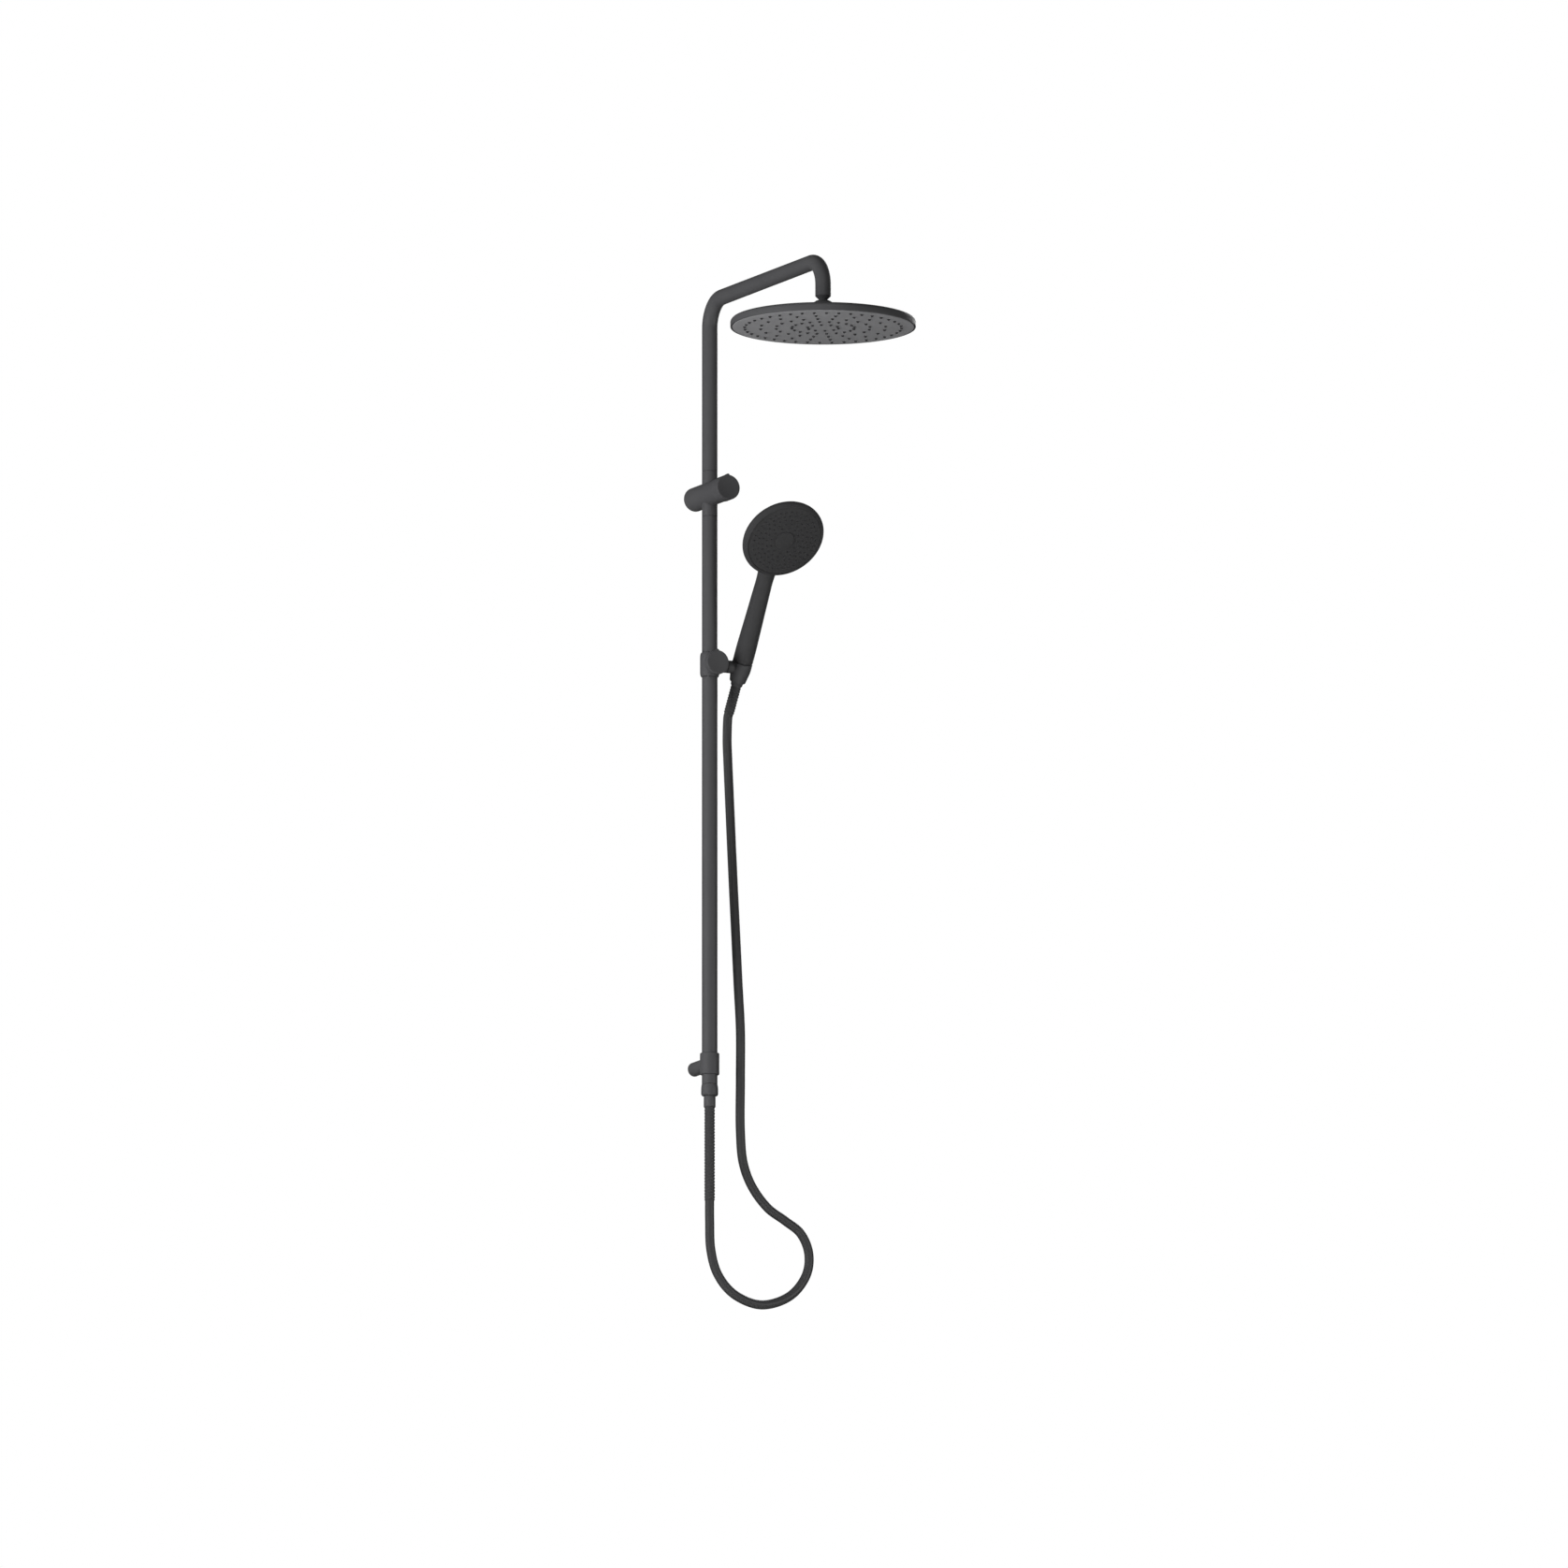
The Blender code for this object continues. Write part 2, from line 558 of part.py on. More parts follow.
def slider(frame):
    half = SLIDER_HEIGHT / 2
    lip = TUBE_RADIUS + GAP + 0.1 * MM
    liner_outer = TUBE_RADIUS + GAP + LINER_WALL
    recess = liner_outer + GAP
    recess_half = half - SLIDER_LIP
    ring("slider_liner", liner_outer, TUBE_RADIUS + GAP, GAP - recess_half,
         recess_half - GAP, BLACK_PLASTIC, parent=frame)

    outer = SLIDER_RADIUS
    end = lip + 0.8 * MM
    profile = [(0, half), (end, half), (outer, half - SLIDER_CHAMFER),
               (outer, SLIDER_CHAMFER - half), (end, -half), (0, -half)]
    collar = turned("slider_collar", profile, BLACK_METAL, parent=frame)
    join(collar, rod("slider_boss", BOSS_RADIUS, TUBE_RADIUS, BOSS_FRONT, None, parent=frame,
                     rotation=TO_FRONT),
         rod("arm_stub", ARM_STUB_RADIUS, TUBE_RADIUS, ARM_STUB_END, None, parent=frame,
             rotation=TO_SIDE))
    bore = [(0, half + MM), (lip, half + MM), (lip, recess_half), (recess, recess_half),
            (recess, -recess_half), (lip, -recess_half), (lip, -half - MM), (0, -half - MM)]
    pin_start = recess + MM
    cut(collar, turned("slider_bore", bore, None, parent=frame),
        rod("lock_screw_hole", LOCK_SCREW_RADIUS + GAP, TUBE_RADIUS, BOSS_FRONT + MM, None,
            parent=frame, rotation=TO_FRONT),
        rod("pivot_hole", PIVOT_PIN_RADIUS + GAP, pin_start, ARM_STUB_END + MM, None,
            parent=frame, rotation=TO_SIDE),
        rod("pivot_grub_hole", PIVOT_GRUB_RADIUS + GAP, 0, ARM_STUB_RADIUS + MM, None,
            parent=frame, location=(PIVOT_GRUB_X, 0, 0), rotation=TO_FRONT))

    washer_start = ARM_STUB_END + GAP
    washer_end = washer_start + FRICTION_WASHER_THICKNESS
    ring("friction_washer", ARM_STUB_RADIUS - GAP, PIVOT_PIN_RADIUS + GAP, washer_start,
         washer_end, RUBBER, parent=frame, rotation=TO_SIDE)
    hub_start = washer_end + GAP
    pin_end = hub_start + 8 * MM
    rod("holder_pivot_pin", PIVOT_PIN_RADIUS, pin_start + GAP, pin_end, STEEL, parent=frame,
        rotation=TO_SIDE)
    socket_screw("pivot_grub_screw", PIVOT_GRUB_RADIUS, PIVOT_PIN_RADIUS + GAP,
                 ARM_STUB_RADIUS - 0.4 * MM, STEEL, parent=frame,
                 location=(PIVOT_GRUB_X, 0, 0), rotation=TO_FRONT)

    pad_end = recess + CLAMP_PAD_LENGTH
    rod("slider_clamp_pad", LOCK_SCREW_RADIUS, recess, pad_end, BLACK_PLASTIC, parent=frame,
        rotation=TO_FRONT)
    back = BOSS_FRONT + GAP
    screw_end = back + 6 * MM
    rod("slider_lock_screw", LOCK_SCREW_RADIUS, pad_end + GAP, screw_end, STEEL,
        parent=frame, rotation=TO_FRONT)
    knob_with_nib("slider_lock_knob", LOCK_KNOB_RADIUS, back, LOCK_KNOB_LENGTH,
                  LOCK_SCREW_RADIUS + GAP, screw_end - back + GAP, frame)
    return hub_start, pin_end


def seat_radius(height):
    """The holder's conical seat: its wall follows the socket's outside at the top."""
    top_radius = SOCKET_OUTER_RADIUS - SOCKET_WALL
    share = (height - SOCKET_BOTTOM) / (SOCKET_TOP - SOCKET_BOTTOM)
    return SEAT_BOTTOM_RADIUS + share * (top_radius - SEAT_BOTTOM_RADIUS)


def holder(slider_frame, socket_frame, hub_start, pin_end):
    outer = SOCKET_OUTER_RADIUS
    bottom_outer = SEAT_BOTTOM_RADIUS + SOCKET_WALL
    waist = SOCKET_BOTTOM * 0.2
    profile = [(0, SOCKET_TOP), (outer - MM / 2, SOCKET_TOP), (outer, SOCKET_TOP - MM / 2),
               (outer, waist), (bottom_outer, SOCKET_BOTTOM), (0, SOCKET_BOTTOM)]
    socket = turned("holder_socket", profile, BLACK_METAL, parent=socket_frame)
    join(socket, rod("holder_hub", ARM_STUB_RADIUS, hub_start, SOCKET_X, None,
                     parent=slider_frame, rotation=TO_SIDE))
    above, below = SOCKET_TOP + 2 * MM, SOCKET_BOTTOM - 2 * MM
    seat = [(0, above), (seat_radius(above), above), (seat_radius(below), below), (0, below)]
    slot = bpy.data.meshes.new("hose_slot")
    work = bmesh.new()
    bmesh.ops.create_cube(work, size=1)
    width = 2 * HOSE_RADIUS + SLOT_CLEARANCE
    bmesh.ops.scale(work, vec=(outer + MM, width, above - below), verts=work.verts)
    work.to_mesh(slot)
    work.free()
    middle = ((outer + MM) / 2, 0, (above + below) / 2)
    cut(socket, turned("holder_seat", seat, None, parent=socket_frame),
        rod("hub_hole", PIVOT_PIN_RADIUS + GAP, hub_start - MM, pin_end + GAP, None,
            parent=slider_frame, rotation=TO_SIDE),
        add_object("hose_slot", slot, None, socket_frame, middle))


# --- Handset ----------------------------------------------------------------------------

def handle_path(points):
    return [Vector((0, -forward, height)) for height, forward in points]


def handset(frame, disc_frame):
    bottom = SOCKET_TOP + 3 * GAP
    line = [(bottom, 0), (0.155 * DISC_CENTRE, 0), (0.36 * DISC_CENTRE, 0),
            (0.64 * DISC_CENTRE, 0), (0.80 * DISC_CENTRE, 0.1 * DISC_FORWARD),
            (0.89 * DISC_CENTRE, 0.3 * DISC_FORWARD), (0.985 * DISC_CENTRE, 0.57 * DISC_FORWARD)]
    radii = [HANDLE_RADIUS, HANDLE_RADIUS, 0.55 * HANDLE_RADIUS + 0.45 * HANDLE_NECK_RADIUS,
             HANDLE_NECK_RADIUS, 0.97 * HANDLE_NECK_RADIUS, 0.88 * HANDLE_NECK_RADIUS,
             0.66 * HANDLE_NECK_RADIUS]
    shell = swept("handset_shell", handle_path(line), radii, BLACK_METAL, ROUND,
                  parent=frame)
    dome = [(0, 0), (DISC_RADIUS, 0)] + dome_profile(DISC_RADIUS, DISC_BACK_DEPTH)
    join(shell, turned("handset_dome", dome, None, parent=disc_frame, facets=WIDE_ROUND))

    mouth = DISC_RADIUS - BEZEL_WIDTH - 1.3 * MM
    inner = [(0, MM), (mouth, MM), (mouth, -MM)]
    inner += dome_profile(mouth, DISC_BACK_DEPTH - DISC_WALL)[1:]
    spigot = NIPPLE_BORE_RADIUS + 4 * MM
    spigot_top = bottom + 15 * MM
    water = [(spigot_top - MM, 0), (0.64 * DISC_CENTRE, 0), (0.80 * DISC_CENTRE, 0.1 * DISC_FORWARD),
             (0.91 * DISC_CENTRE, 0.43 * DISC_FORWARD), (0.96 * DISC_CENTRE, 0.67 * DISC_FORWARD)]
    cut(shell, turned("handset_chamber", inner, None, parent=disc_frame, facets=WIDE_ROUND),
        swept("handset_waterway", handle_path(water), [NIPPLE_BORE_RADIUS] * len(water), None,
              12, parent=frame),
        rod("nipple_bore", spigot, bottom - MM, spigot_top, None, parent=frame))

    plate_radius = DISC_RADIUS - BEZEL_WIDTH - GAP
    bezel = [(DISC_RADIUS - BEZEL_WIDTH, BEZEL_HEIGHT)]
    bezel += [(DISC_RADIUS - BEZEL_WIDTH + 1.2 * MM + (BEZEL_WIDTH - 1.2 * MM) * sin(a),
               GAP + (BEZEL_HEIGHT - GAP) * cos(a)) for a in (radians(30 * i) for i in range(4))]
    bezel.append((DISC_RADIUS - BEZEL_WIDTH, GAP))
    turned("handset_bezel", bezel, BLACK_METAL, parent=disc_frame, facets=WIDE_ROUND)
    plate_top = BEZEL_HEIGHT - 0.6 * MM
    plate_bottom = plate_top - SPRAY_PLATE_THICKNESS
    rod("handset_spray_plate", plate_radius, plate_bottom, plate_top, FACE_PLASTIC,
        parent=disc_frame, facets=WIDE_ROUND)
    rod("handset_nozzle_mat", plate_radius - GAP, 2 * GAP, plate_bottom - GAP, RUBBER,
        parent=disc_frame, facets=WIDE_ROUND)
    cap_bottom = plate_top + GAP
    cap = [(0, cap_bottom + CENTRE_CAP_HEIGHT),
           (CENTRE_CAP_RADIUS - CENTRE_CAP_HEIGHT, cap_bottom + CENTRE_CAP_HEIGHT),
           (CENTRE_CAP_RADIUS, cap_bottom), (0, cap_bottom)]
    turned("handset_centre_cap", cap, FACE_PLASTIC, parent=disc_frame)
    return bottom, spigot, spigot_top


def dome_profile(radius, depth):
    """The handset's back, from its rim to its axis: a quarter of a flat ellipse."""
    steps = 5
    angles = [radians(90) * i / steps for i in range(steps + 1)]
    return [(radius * cos(a), -depth * sin(a)) for a in angles[1:-1]] + [(0, -depth)]


def handset_hose_end(frame, handle_bottom, spigot_bore, spigot_top):
    """The nipple in the handle, and the hose's conical nut, which seats in the holder."""
    thread = spigot_bore + GAP
    nut_top = handle_bottom - GAP
    thread_end = nut_top - 15.5 * MM
    nipple = [(spigot_bore - GAP, spigot_top - GAP), (spigot_bore - GAP, nut_top - GAP),
              (thread, nut_top - GAP), (thread, thread_end), (NIPPLE_BORE_RADIUS, thread_end),
              (NIPPLE_BORE_RADIUS, spigot_top - GAP)]
    turned("handset_inlet_nipple", nipple, BRASS, parent=frame)
    washer_top = thread_end - GAP
    washer_bottom = washer_top - 1.4 * MM
    ring("hose_upper_washer", thread, WATERWAY_RADIUS, washer_bottom, washer_top, RUBBER,
         parent=frame)
    flange_top = washer_bottom - GAP
    flange_bottom = flange_top - 1.4 * MM
    floor = flange_bottom - GAP
    hole = FERRULE_STEM_RADIUS + GAP
    nut_bottom = SOCKET_BOTTOM - UPPER_NUT_TAIL
    tip = GUARD_OUTER + 0.8 * MM
    nut = [(seat_radius(nut_top) - GAP, nut_top),
           (seat_radius(SOCKET_BOTTOM) - GAP, SOCKET_BOTTOM), (tip, nut_bottom),
           (hole, nut_bottom), (hole, floor), (thread + GAP, floor), (thread + GAP, nut_top)]
    turned("hose_upper_nut", nut, BLACK_METAL, parent=frame)
    stem_end = nut_bottom - 4.7 * MM
    ferrule = [(thread - GAP, flange_top), (thread - GAP, flange_bottom),
               (FERRULE_STEM_RADIUS, flange_bottom), (FERRULE_STEM_RADIUS, stem_end),
               (FERRULE_BORE_RADIUS, stem_end), (FERRULE_BORE_RADIUS, flange_top)]
    turned("hose_upper_ferrule", ferrule, BRASS, parent=frame)
    guard_top = nut_bottom - GAP
    guard_bottom = guard_top - UPPER_GUARD_LENGTH
    ring("hose_upper_spring", GUARD_OUTER, GUARD_INNER, guard_bottom, guard_top,
         HOSE_PLASTIC, parent=frame)
    return stem_end - GAP, guard_bottom


# --- Rain head --------------------------------------------------------------------------

def sphere_radius_at(radius, height):
    return sqrt(radius * radius - height * height)


def ball_stem(place):
    """Screwed into the drop pipe; heights are from the ball's centre."""
    top = BALL_DROP + SPIGOT_LENGTH - 3 * MM
    shoulder = BALL_DROP - GAP
    groove = ORING_SECTION + 2 * GAP
    seal = shoulder + SPIGOT_LENGTH / 2
    groove_radius = SPIGOT_RADIUS - ORING_SECTION - GAP
    neck_angle = degrees(atan2(sqrt(BALL_RADIUS ** 2 - BALL_NECK_RADIUS ** 2), BALL_NECK_RADIUS))
    mouth_angle = degrees(atan2(-sqrt(BALL_RADIUS ** 2 - BALL_BORE_RADIUS ** 2), BALL_BORE_RADIUS))
    profile = [(SPIGOT_RADIUS, top), (SPIGOT_RADIUS, seal + groove / 2),
               (groove_radius, seal + groove / 2), (groove_radius, seal - groove / 2),
               (SPIGOT_RADIUS, seal - groove / 2), (SPIGOT_RADIUS, shoulder),
               (TUBE_RADIUS, shoulder), (BALL_NECK_RADIUS, shoulder - BALL_STEM_CONE)]
    profile += arc(0, 0, BALL_RADIUS, neck_angle, mouth_angle, 9)
    profile.append((BALL_BORE_RADIUS, top))
    turned("arm_ball_stem", profile, BRASS, location=place, facets=FINE_ROUND)
    oring("arm_oring", SPIGOT_RADIUS, place + Vector((0, 0, seal)))


def rain_head(place):
    """Heights are from the ball's centre."""
    underside = -HEAD_DROP
    top = underside + HEAD_THICKNESS
    socket_radius = BALL_RADIUS + GAP
    nut_bottom = top + GAP
    hub_top = 2 * MM - BALL_RADIUS
    seat_bottom = hub_top + GAP
    seat_top = seat_bottom + 3.7 * MM
    seat = [(HUB_RADIUS, seat_top), (HUB_RADIUS, seat_bottom)]
    low = degrees(atan2(seat_bottom, sphere_radius_at(socket_radius, seat_bottom)))
    high = degrees(atan2(seat_top, sphere_radius_at(socket_radius, seat_top)))
    seat += arc(0, 0, socket_radius, low, high, 4)
    turned("ball_seat_ring", seat, RUBBER, location=place, facets=FINE_ROUND)

    shoulder = seat_top + GAP
    nut_top = socket_radius + BALL_NUT_CROWN
    nut_start = degrees(atan2(shoulder, sphere_radius_at(socket_radius, shoulder)))
    mouth_height = sphere_radius_at(socket_radius, BALL_NUT_MOUTH_RADIUS)
    nut_end = degrees(atan2(mouth_height, BALL_NUT_MOUTH_RADIUS))
    nut = [(BALL_NUT_MOUTH_RADIUS, nut_top), (BALL_NUT_MOUTH_RADIUS + BALL_NUT_RIM, nut_top),
           (BALL_NUT_RADIUS - 1.1 * MM, nut_top - 2.9 * MM), (BALL_NUT_RADIUS, nut_top - 5 * MM),
           (BALL_NUT_RADIUS, nut_bottom + MM / 2),
           (BALL_NUT_RADIUS - MM / 2, nut_bottom), (HUB_RADIUS + GAP, nut_bottom),
           (HUB_RADIUS + GAP, shoulder)]
    nut += arc(0, 0, socket_radius, nut_start, nut_end, 8)
    turned("ball_nut", nut, BLACK_METAL, location=place, facets=FINE_ROUND)

    rim = HEAD_RIM_ROUND
    inner_radius = HEAD_RADIUS - HEAD_WALL
    ceiling = top - HEAD_WALL
    shell = [(HUB_BORE_RADIUS, hub_top), (HUB_RADIUS, hub_top), (HUB_RADIUS, top)]
    shell += arc(HEAD_RADIUS - rim, top - rim, rim, 90, 0, 4)
    shell += [(HEAD_RADIUS, underside + 2 * MM), (HEAD_RADIUS - MM, underside + MM / 2),
              (inner_radius - MM, underside + MM / 2)]
    shell += [(inner_radius - MM, ceiling - rim)]
    shell += arc(inner_radius - rim - MM, ceiling - rim, rim, 0, 90, 3)[1:]
    shell += [(HUB_BORE_RADIUS, ceiling)]
    turned("head_shell", shell, BLACK_METAL, location=place, facets=WIDE_ROUND)

    plate_radius = inner_radius - MM - GAP
    plate_top = underside + FACEPLATE_THICKNESS
    plate = [(0, plate_top), (plate_radius, plate_top), (plate_radius, underside + MM / 2),
             (plate_radius - MM / 2, underside), (0, underside)]
    turned("head_faceplate", plate, FACE_PLASTIC, location=place, facets=WIDE_ROUND)
    mat_bottom = plate_top + GAP
    rod("head_nozzle_mat", plate_radius - 8 * MM, mat_bottom, mat_bottom + MAT_THICKNESS,
        RUBBER, location=place, facets=WIDE_ROUND)
    regulator_bottom = ceiling + MM
    ring("flow_regulator", HUB_BORE_RADIUS - GAP, BALL_BORE_RADIUS, regulator_bottom,
         regulator_bottom + REGULATOR_THICKNESS, BLACK_PLASTIC, location=place)


# --- Hose -------------------------------------------------------------------------------

def hose_route(start, socket_origin, top_fitting, guard_bottom):
    """Chosen points of the hose's centreline, from the rail's outlet to the handset: down
    the guard, round a loop in a plane parallel to the wall, and up beside the rail."""
    def loop(x, z):
        return Vector((x * MM, -WALL_DISTANCE, z * MM))

    def run(forward, z):
        return Vector((SOCKET_X, -WALL_DISTANCE - forward * MM, z * MM))

    down = [loop(0, start / MM), loop(0, -930), loop(0, -990), loop(0, -1035)]
    turn = [loop(2, -1078), loop(12.5, -1111), loop(37, -1137), loop(80, -1149.5),
            loop(126, -1133), loop(151.6, -1100), loop(154.5, -1069), loop(142, -1043),
            loop(118, -1027), loop(91, -1011), loop(66, -982), loop(52.5, -950)]
    up = [run(0, -905), run(0, -830), run(0, -761), run(-7.5, -693), run(-14.6, -625),
          run(-21.9, -557), run(-28.7, -489), run(-35.2, -421), run(-40.2, -368),
          run(-42.3, -340)]
    lean = Vector((0, -sin(HANDLE_LEAN), cos(HANDLE_LEAN)))
    heights = (guard_bottom - 6 * MM, guard_bottom - 2 * MM, guard_bottom + 12 * MM, top_fitting)
    straight = [socket_origin + lean * height for height in heights]
    return down + turn + up + straight


def smooth(points):
    """A centripetal Catmull-Rom curve through the points: its place at a distance along it,
    and its length."""
    ends = [2 * points[0] - points[1]] + points + [2 * points[-1] - points[-2]]
    fine = []
    for a, b, c, d in zip(ends, ends[1:], ends[2:], ends[3:]):
        knots = [0.0]
        for p, q in ((a, b), (b, c), (c, d)):
            knots.append(knots[-1] + sqrt((q - p).length))
        t0, t1, t2, t3 = knots
        for i in range(16):
            t = t1 + (t2 - t1) * i / 16
            a1 = a.lerp(b, (t - t0) / (t1 - t0))
            a2 = b.lerp(c, (t - t1) / (t2 - t1))
            a3 = c.lerp(d, (t - t2) / (t3 - t2))
            b1 = a1.lerp(a2, (t - t0) / (t2 - t0))
            b2 = a2.lerp(a3, (t - t1) / (t3 - t1))
            fine.append(b1.lerp(b2, (t - t1) / (t2 - t1)))
    fine.append(points[-1])
    reach = [0.0]
    for p, q in zip(fine, fine[1:]):
        reach.append(reach[-1] + (q - p).length)

    def at(distance):
        for i in range(1, len(fine)):
            if reach[i] >= distance:
                return fine[i - 1].lerp(fine[i], (distance - reach[i - 1]) / (reach[i] - reach[i - 1]))
        return fine[-1]

    return at, reach[-1]


def hose(start, socket_origin, top_fitting, guard_bottom):
    """The hose is cut where each joint's motion ends, with a small gap at each cut. Its top
    piece has a point below the guard, so that it runs straight inside it."""
    at, length = smooth(hose_route(start, socket_origin, top_fitting, guard_bottom))
    cuts = hose_cuts(at, length)
    guard_entry = length - (top_fitting - guard_bottom) - 2 * MM
    names = ("hose_riser_leg", "hose_loop", "hose_run", "hose_bend", "hose_top")
    for name, low, high in zip(names, cuts, cuts[1:]):
        first, last = low + GAP / 2, high - GAP / 2
        lead = 3 * MM
        straight_from = guard_entry if high > guard_entry else last - lead
        reach = straight_from - first - lead
        count = round(reach / HOSE_POINT_SPACING)
        stops = [first] + [first + lead + reach * i / count for i in range(count + 1)] + [last]
        path = [at(stop) for stop in stops]
        swept(name, path, [HOSE_RADIUS] * len(path), HOSE_PLASTIC, 12)


def hose_cuts(at, length):
    """Distances along the hose where one piece ends and the next begins."""
    heights = [(LOOP_START_Z, False), (LOOP_END_Z, True), (RUN_END_Z, True),
               (BEND_END_Z, True)]
    cuts = [0.0]
    for height, rising in heights:
        distance = cuts[-1] + 20 * MM
        while True:
            here = at(distance).z
            if (rising and here >= height and distance > length / 4) or \
                    (not rising and here <= height):
                break
            distance += MM
        cuts.append(distance)
    return cuts + [length]


# --- Build ------------------------------------------------------------------------------

upper_hole = tube_lock_hole("upper_lock_hole", TUBE_SCREW_Z)
lower_hole = tube_lock_hole("lower_lock_hole", -TUBE_SCREW_Z)
gooseneck(upper_hole)
rail(lower_hole)
diverter_body((upper_hole, lower_hole))
tube_lock_screw("upper_tube_screw", TUBE_SCREW_Z)
tube_lock_screw("lower_tube_screw", -TUBE_SCREW_Z)
inlet_pieces()
stem_floor = cartridge()
diverter_knob(stem_floor)
bracket()
hose_start = outlet()

slider_place = RISER_FOOT + Vector((0, 0, SLIDER_Z))
slider_frame = frame_empty("slider_frame", location=slider_place)
hub_start, pin_end = slider(slider_frame)
pivot_frame = frame_empty("pivot_frame", slider_frame, (SOCKET_X, 0, 0), (HANDLE_LEAN, 0, 0))
handle_frame = frame_empty("handle_frame", pivot_frame, (0, -SOCKET_OFFSET, SOCKET_RISE))
holder(slider_frame, handle_frame, hub_start, pin_end)
disc_frame = frame_empty("disc_frame", handle_frame, (0, -DISC_FORWARD, DISC_CENTRE),
                         (radians(90) + DISC_TILT, 0, 0))
handle_bottom, spigot_bore, spigot_top = handset(handle_frame, disc_frame)
hose_top, guard_bottom = handset_hose_end(handle_frame, handle_bottom, spigot_bore, spigot_top)

ball_place = Vector((0, -WALL_DISTANCE - ARM_REACH, BALL_Z))
ball_stem(ball_place)
rain_head(ball_place)

lean_up = Vector((0, -sin(HANDLE_LEAN), cos(HANDLE_LEAN)))
lean_forward = Vector((0, -cos(HANDLE_LEAN), -sin(HANDLE_LEAN)))
handle_origin = slider_place + Vector((SOCKET_X, 0, 0)) + lean_up * SOCKET_RISE
handle_origin += lean_forward * SOCKET_OFFSET
hose(hose_start, handle_origin, hose_top, guard_bottom)
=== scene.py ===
"""Looks of a wall-mounted rainfall shower column in satin black.

Metres, +Z up, -Y towards the user, the wall at y = 0 and the riser's axis 50 mm in front
of it. Sizes repeat the frame's own, in millimetres, and become metres in surface(). Every
new surface is a profile spun round an axis or a circle carried along a path, worked out as
whole arrays. A profile is a list of (radius, height) corners in its own frame.
"""
import json

import bmesh
import bpy
import numpy as np
from mathutils import Matrix, Vector


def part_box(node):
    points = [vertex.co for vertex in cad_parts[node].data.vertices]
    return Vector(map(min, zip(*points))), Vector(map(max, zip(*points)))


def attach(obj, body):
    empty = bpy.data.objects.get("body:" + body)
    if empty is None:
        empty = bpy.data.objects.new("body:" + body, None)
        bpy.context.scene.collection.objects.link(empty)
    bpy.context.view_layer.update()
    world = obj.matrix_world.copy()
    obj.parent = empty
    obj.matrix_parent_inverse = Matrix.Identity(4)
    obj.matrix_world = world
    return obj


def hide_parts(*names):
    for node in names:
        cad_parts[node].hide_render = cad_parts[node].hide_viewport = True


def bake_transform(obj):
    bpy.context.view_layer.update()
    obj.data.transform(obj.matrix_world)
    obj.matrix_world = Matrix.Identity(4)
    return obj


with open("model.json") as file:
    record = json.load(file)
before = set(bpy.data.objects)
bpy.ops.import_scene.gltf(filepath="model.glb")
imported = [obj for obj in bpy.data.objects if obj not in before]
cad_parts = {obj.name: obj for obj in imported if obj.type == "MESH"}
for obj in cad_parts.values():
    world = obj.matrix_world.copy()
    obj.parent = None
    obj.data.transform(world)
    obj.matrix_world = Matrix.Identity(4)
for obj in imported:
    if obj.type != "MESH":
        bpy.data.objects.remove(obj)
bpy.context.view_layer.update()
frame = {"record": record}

MM = 0.001
JOINTS = {joint["name"]: joint for joint in frame["record"]["behaviour"]["joints"]}

# Sizes shared with the frame, in millimetres.
TUBE_R = 11.0
RISER_Y = -50.0
ARM_Z = 275.0
ARM_REACH = 360.0
BEND_R = 38.0
DROP_END_Z = 221.0
NECK_END = 32.0
SEAM = 0.3
BARREL_R = 17.0
BARREL_LENGTH = 91.0
KNOB_R = 17.8
KNOB_BACK = 91.4
KNOB_FRONT = 110.0
BRACKET_Z = -813.0
RAIL_BOTTOM_Z = -842.0
COLLAR_R = 13.65
SLIDER_Z = -244.0
SOCKET_X = 48.0
SOCKET_OFFSET = 1.9
SOCKET_RISE = 2.0
DISC_ALONG = 208.0
DISC_FORWARD = 21.0
DISC_TILT = np.radians(7.8)
DISC_R = 60.0
BEZEL_W = 5.7
BEZEL_TOP = 7.2
HOSE_R = 6.5
GUARD_R = 7.5
BALL_Z = 203.0
BALL_R = 10.0
STEM_R = 5.5
HEAD_R = 130.0
HEAD_UNDER = -26.6
HEAD_TOP = -14.4
FACE_R = 127.1


# --- Places ------------------------------------------------------------------------------

def placed(x=0.0, y=0.0, z=0.0, turn=None):
    """A frame's matrix: its origin in millimetres and its rotation."""
    matrix = Matrix.Translation((x, y, z))
    return matrix @ turn if turn is not None else matrix


TO_FRONT = Matrix.Rotation(np.radians(90), 4, "X")
TO_SIDE = Matrix.Rotation(np.radians(90), 4, "Y")

# The handset's axis leans forward by the angle between its lift and the vertical.
lift = Vector(JOINTS["handset_lift"]["axis"])
LEAN = float(np.arctan2(-lift.y, lift.z))
SLIDER = placed(0, RISER_Y, SLIDER_Z)
PIVOT = placed(SOCKET_X, RISER_Y, SLIDER_Z, Matrix.Rotation(LEAN, 4, "X"))
HANDLE = PIVOT @ Matrix.Translation((0, -SOCKET_OFFSET, SOCKET_RISE))
DISC = (HANDLE @ Matrix.Translation((0, -DISC_FORWARD, DISC_ALONG))
        @ Matrix.Rotation(np.radians(90) + DISC_TILT, 4, "X"))
BALL = placed(0, RISER_Y - ARM_REACH, BALL_Z)
RISER = placed(0, RISER_Y, 0)


# --- Surfaces ----------------------------------------------------------------------------

def put(matrix, points):
    """Points of any array shape, taken through a frame's matrix."""
    m = np.array(matrix)
    return points @ m[:3, :3].T + m[:3, 3]


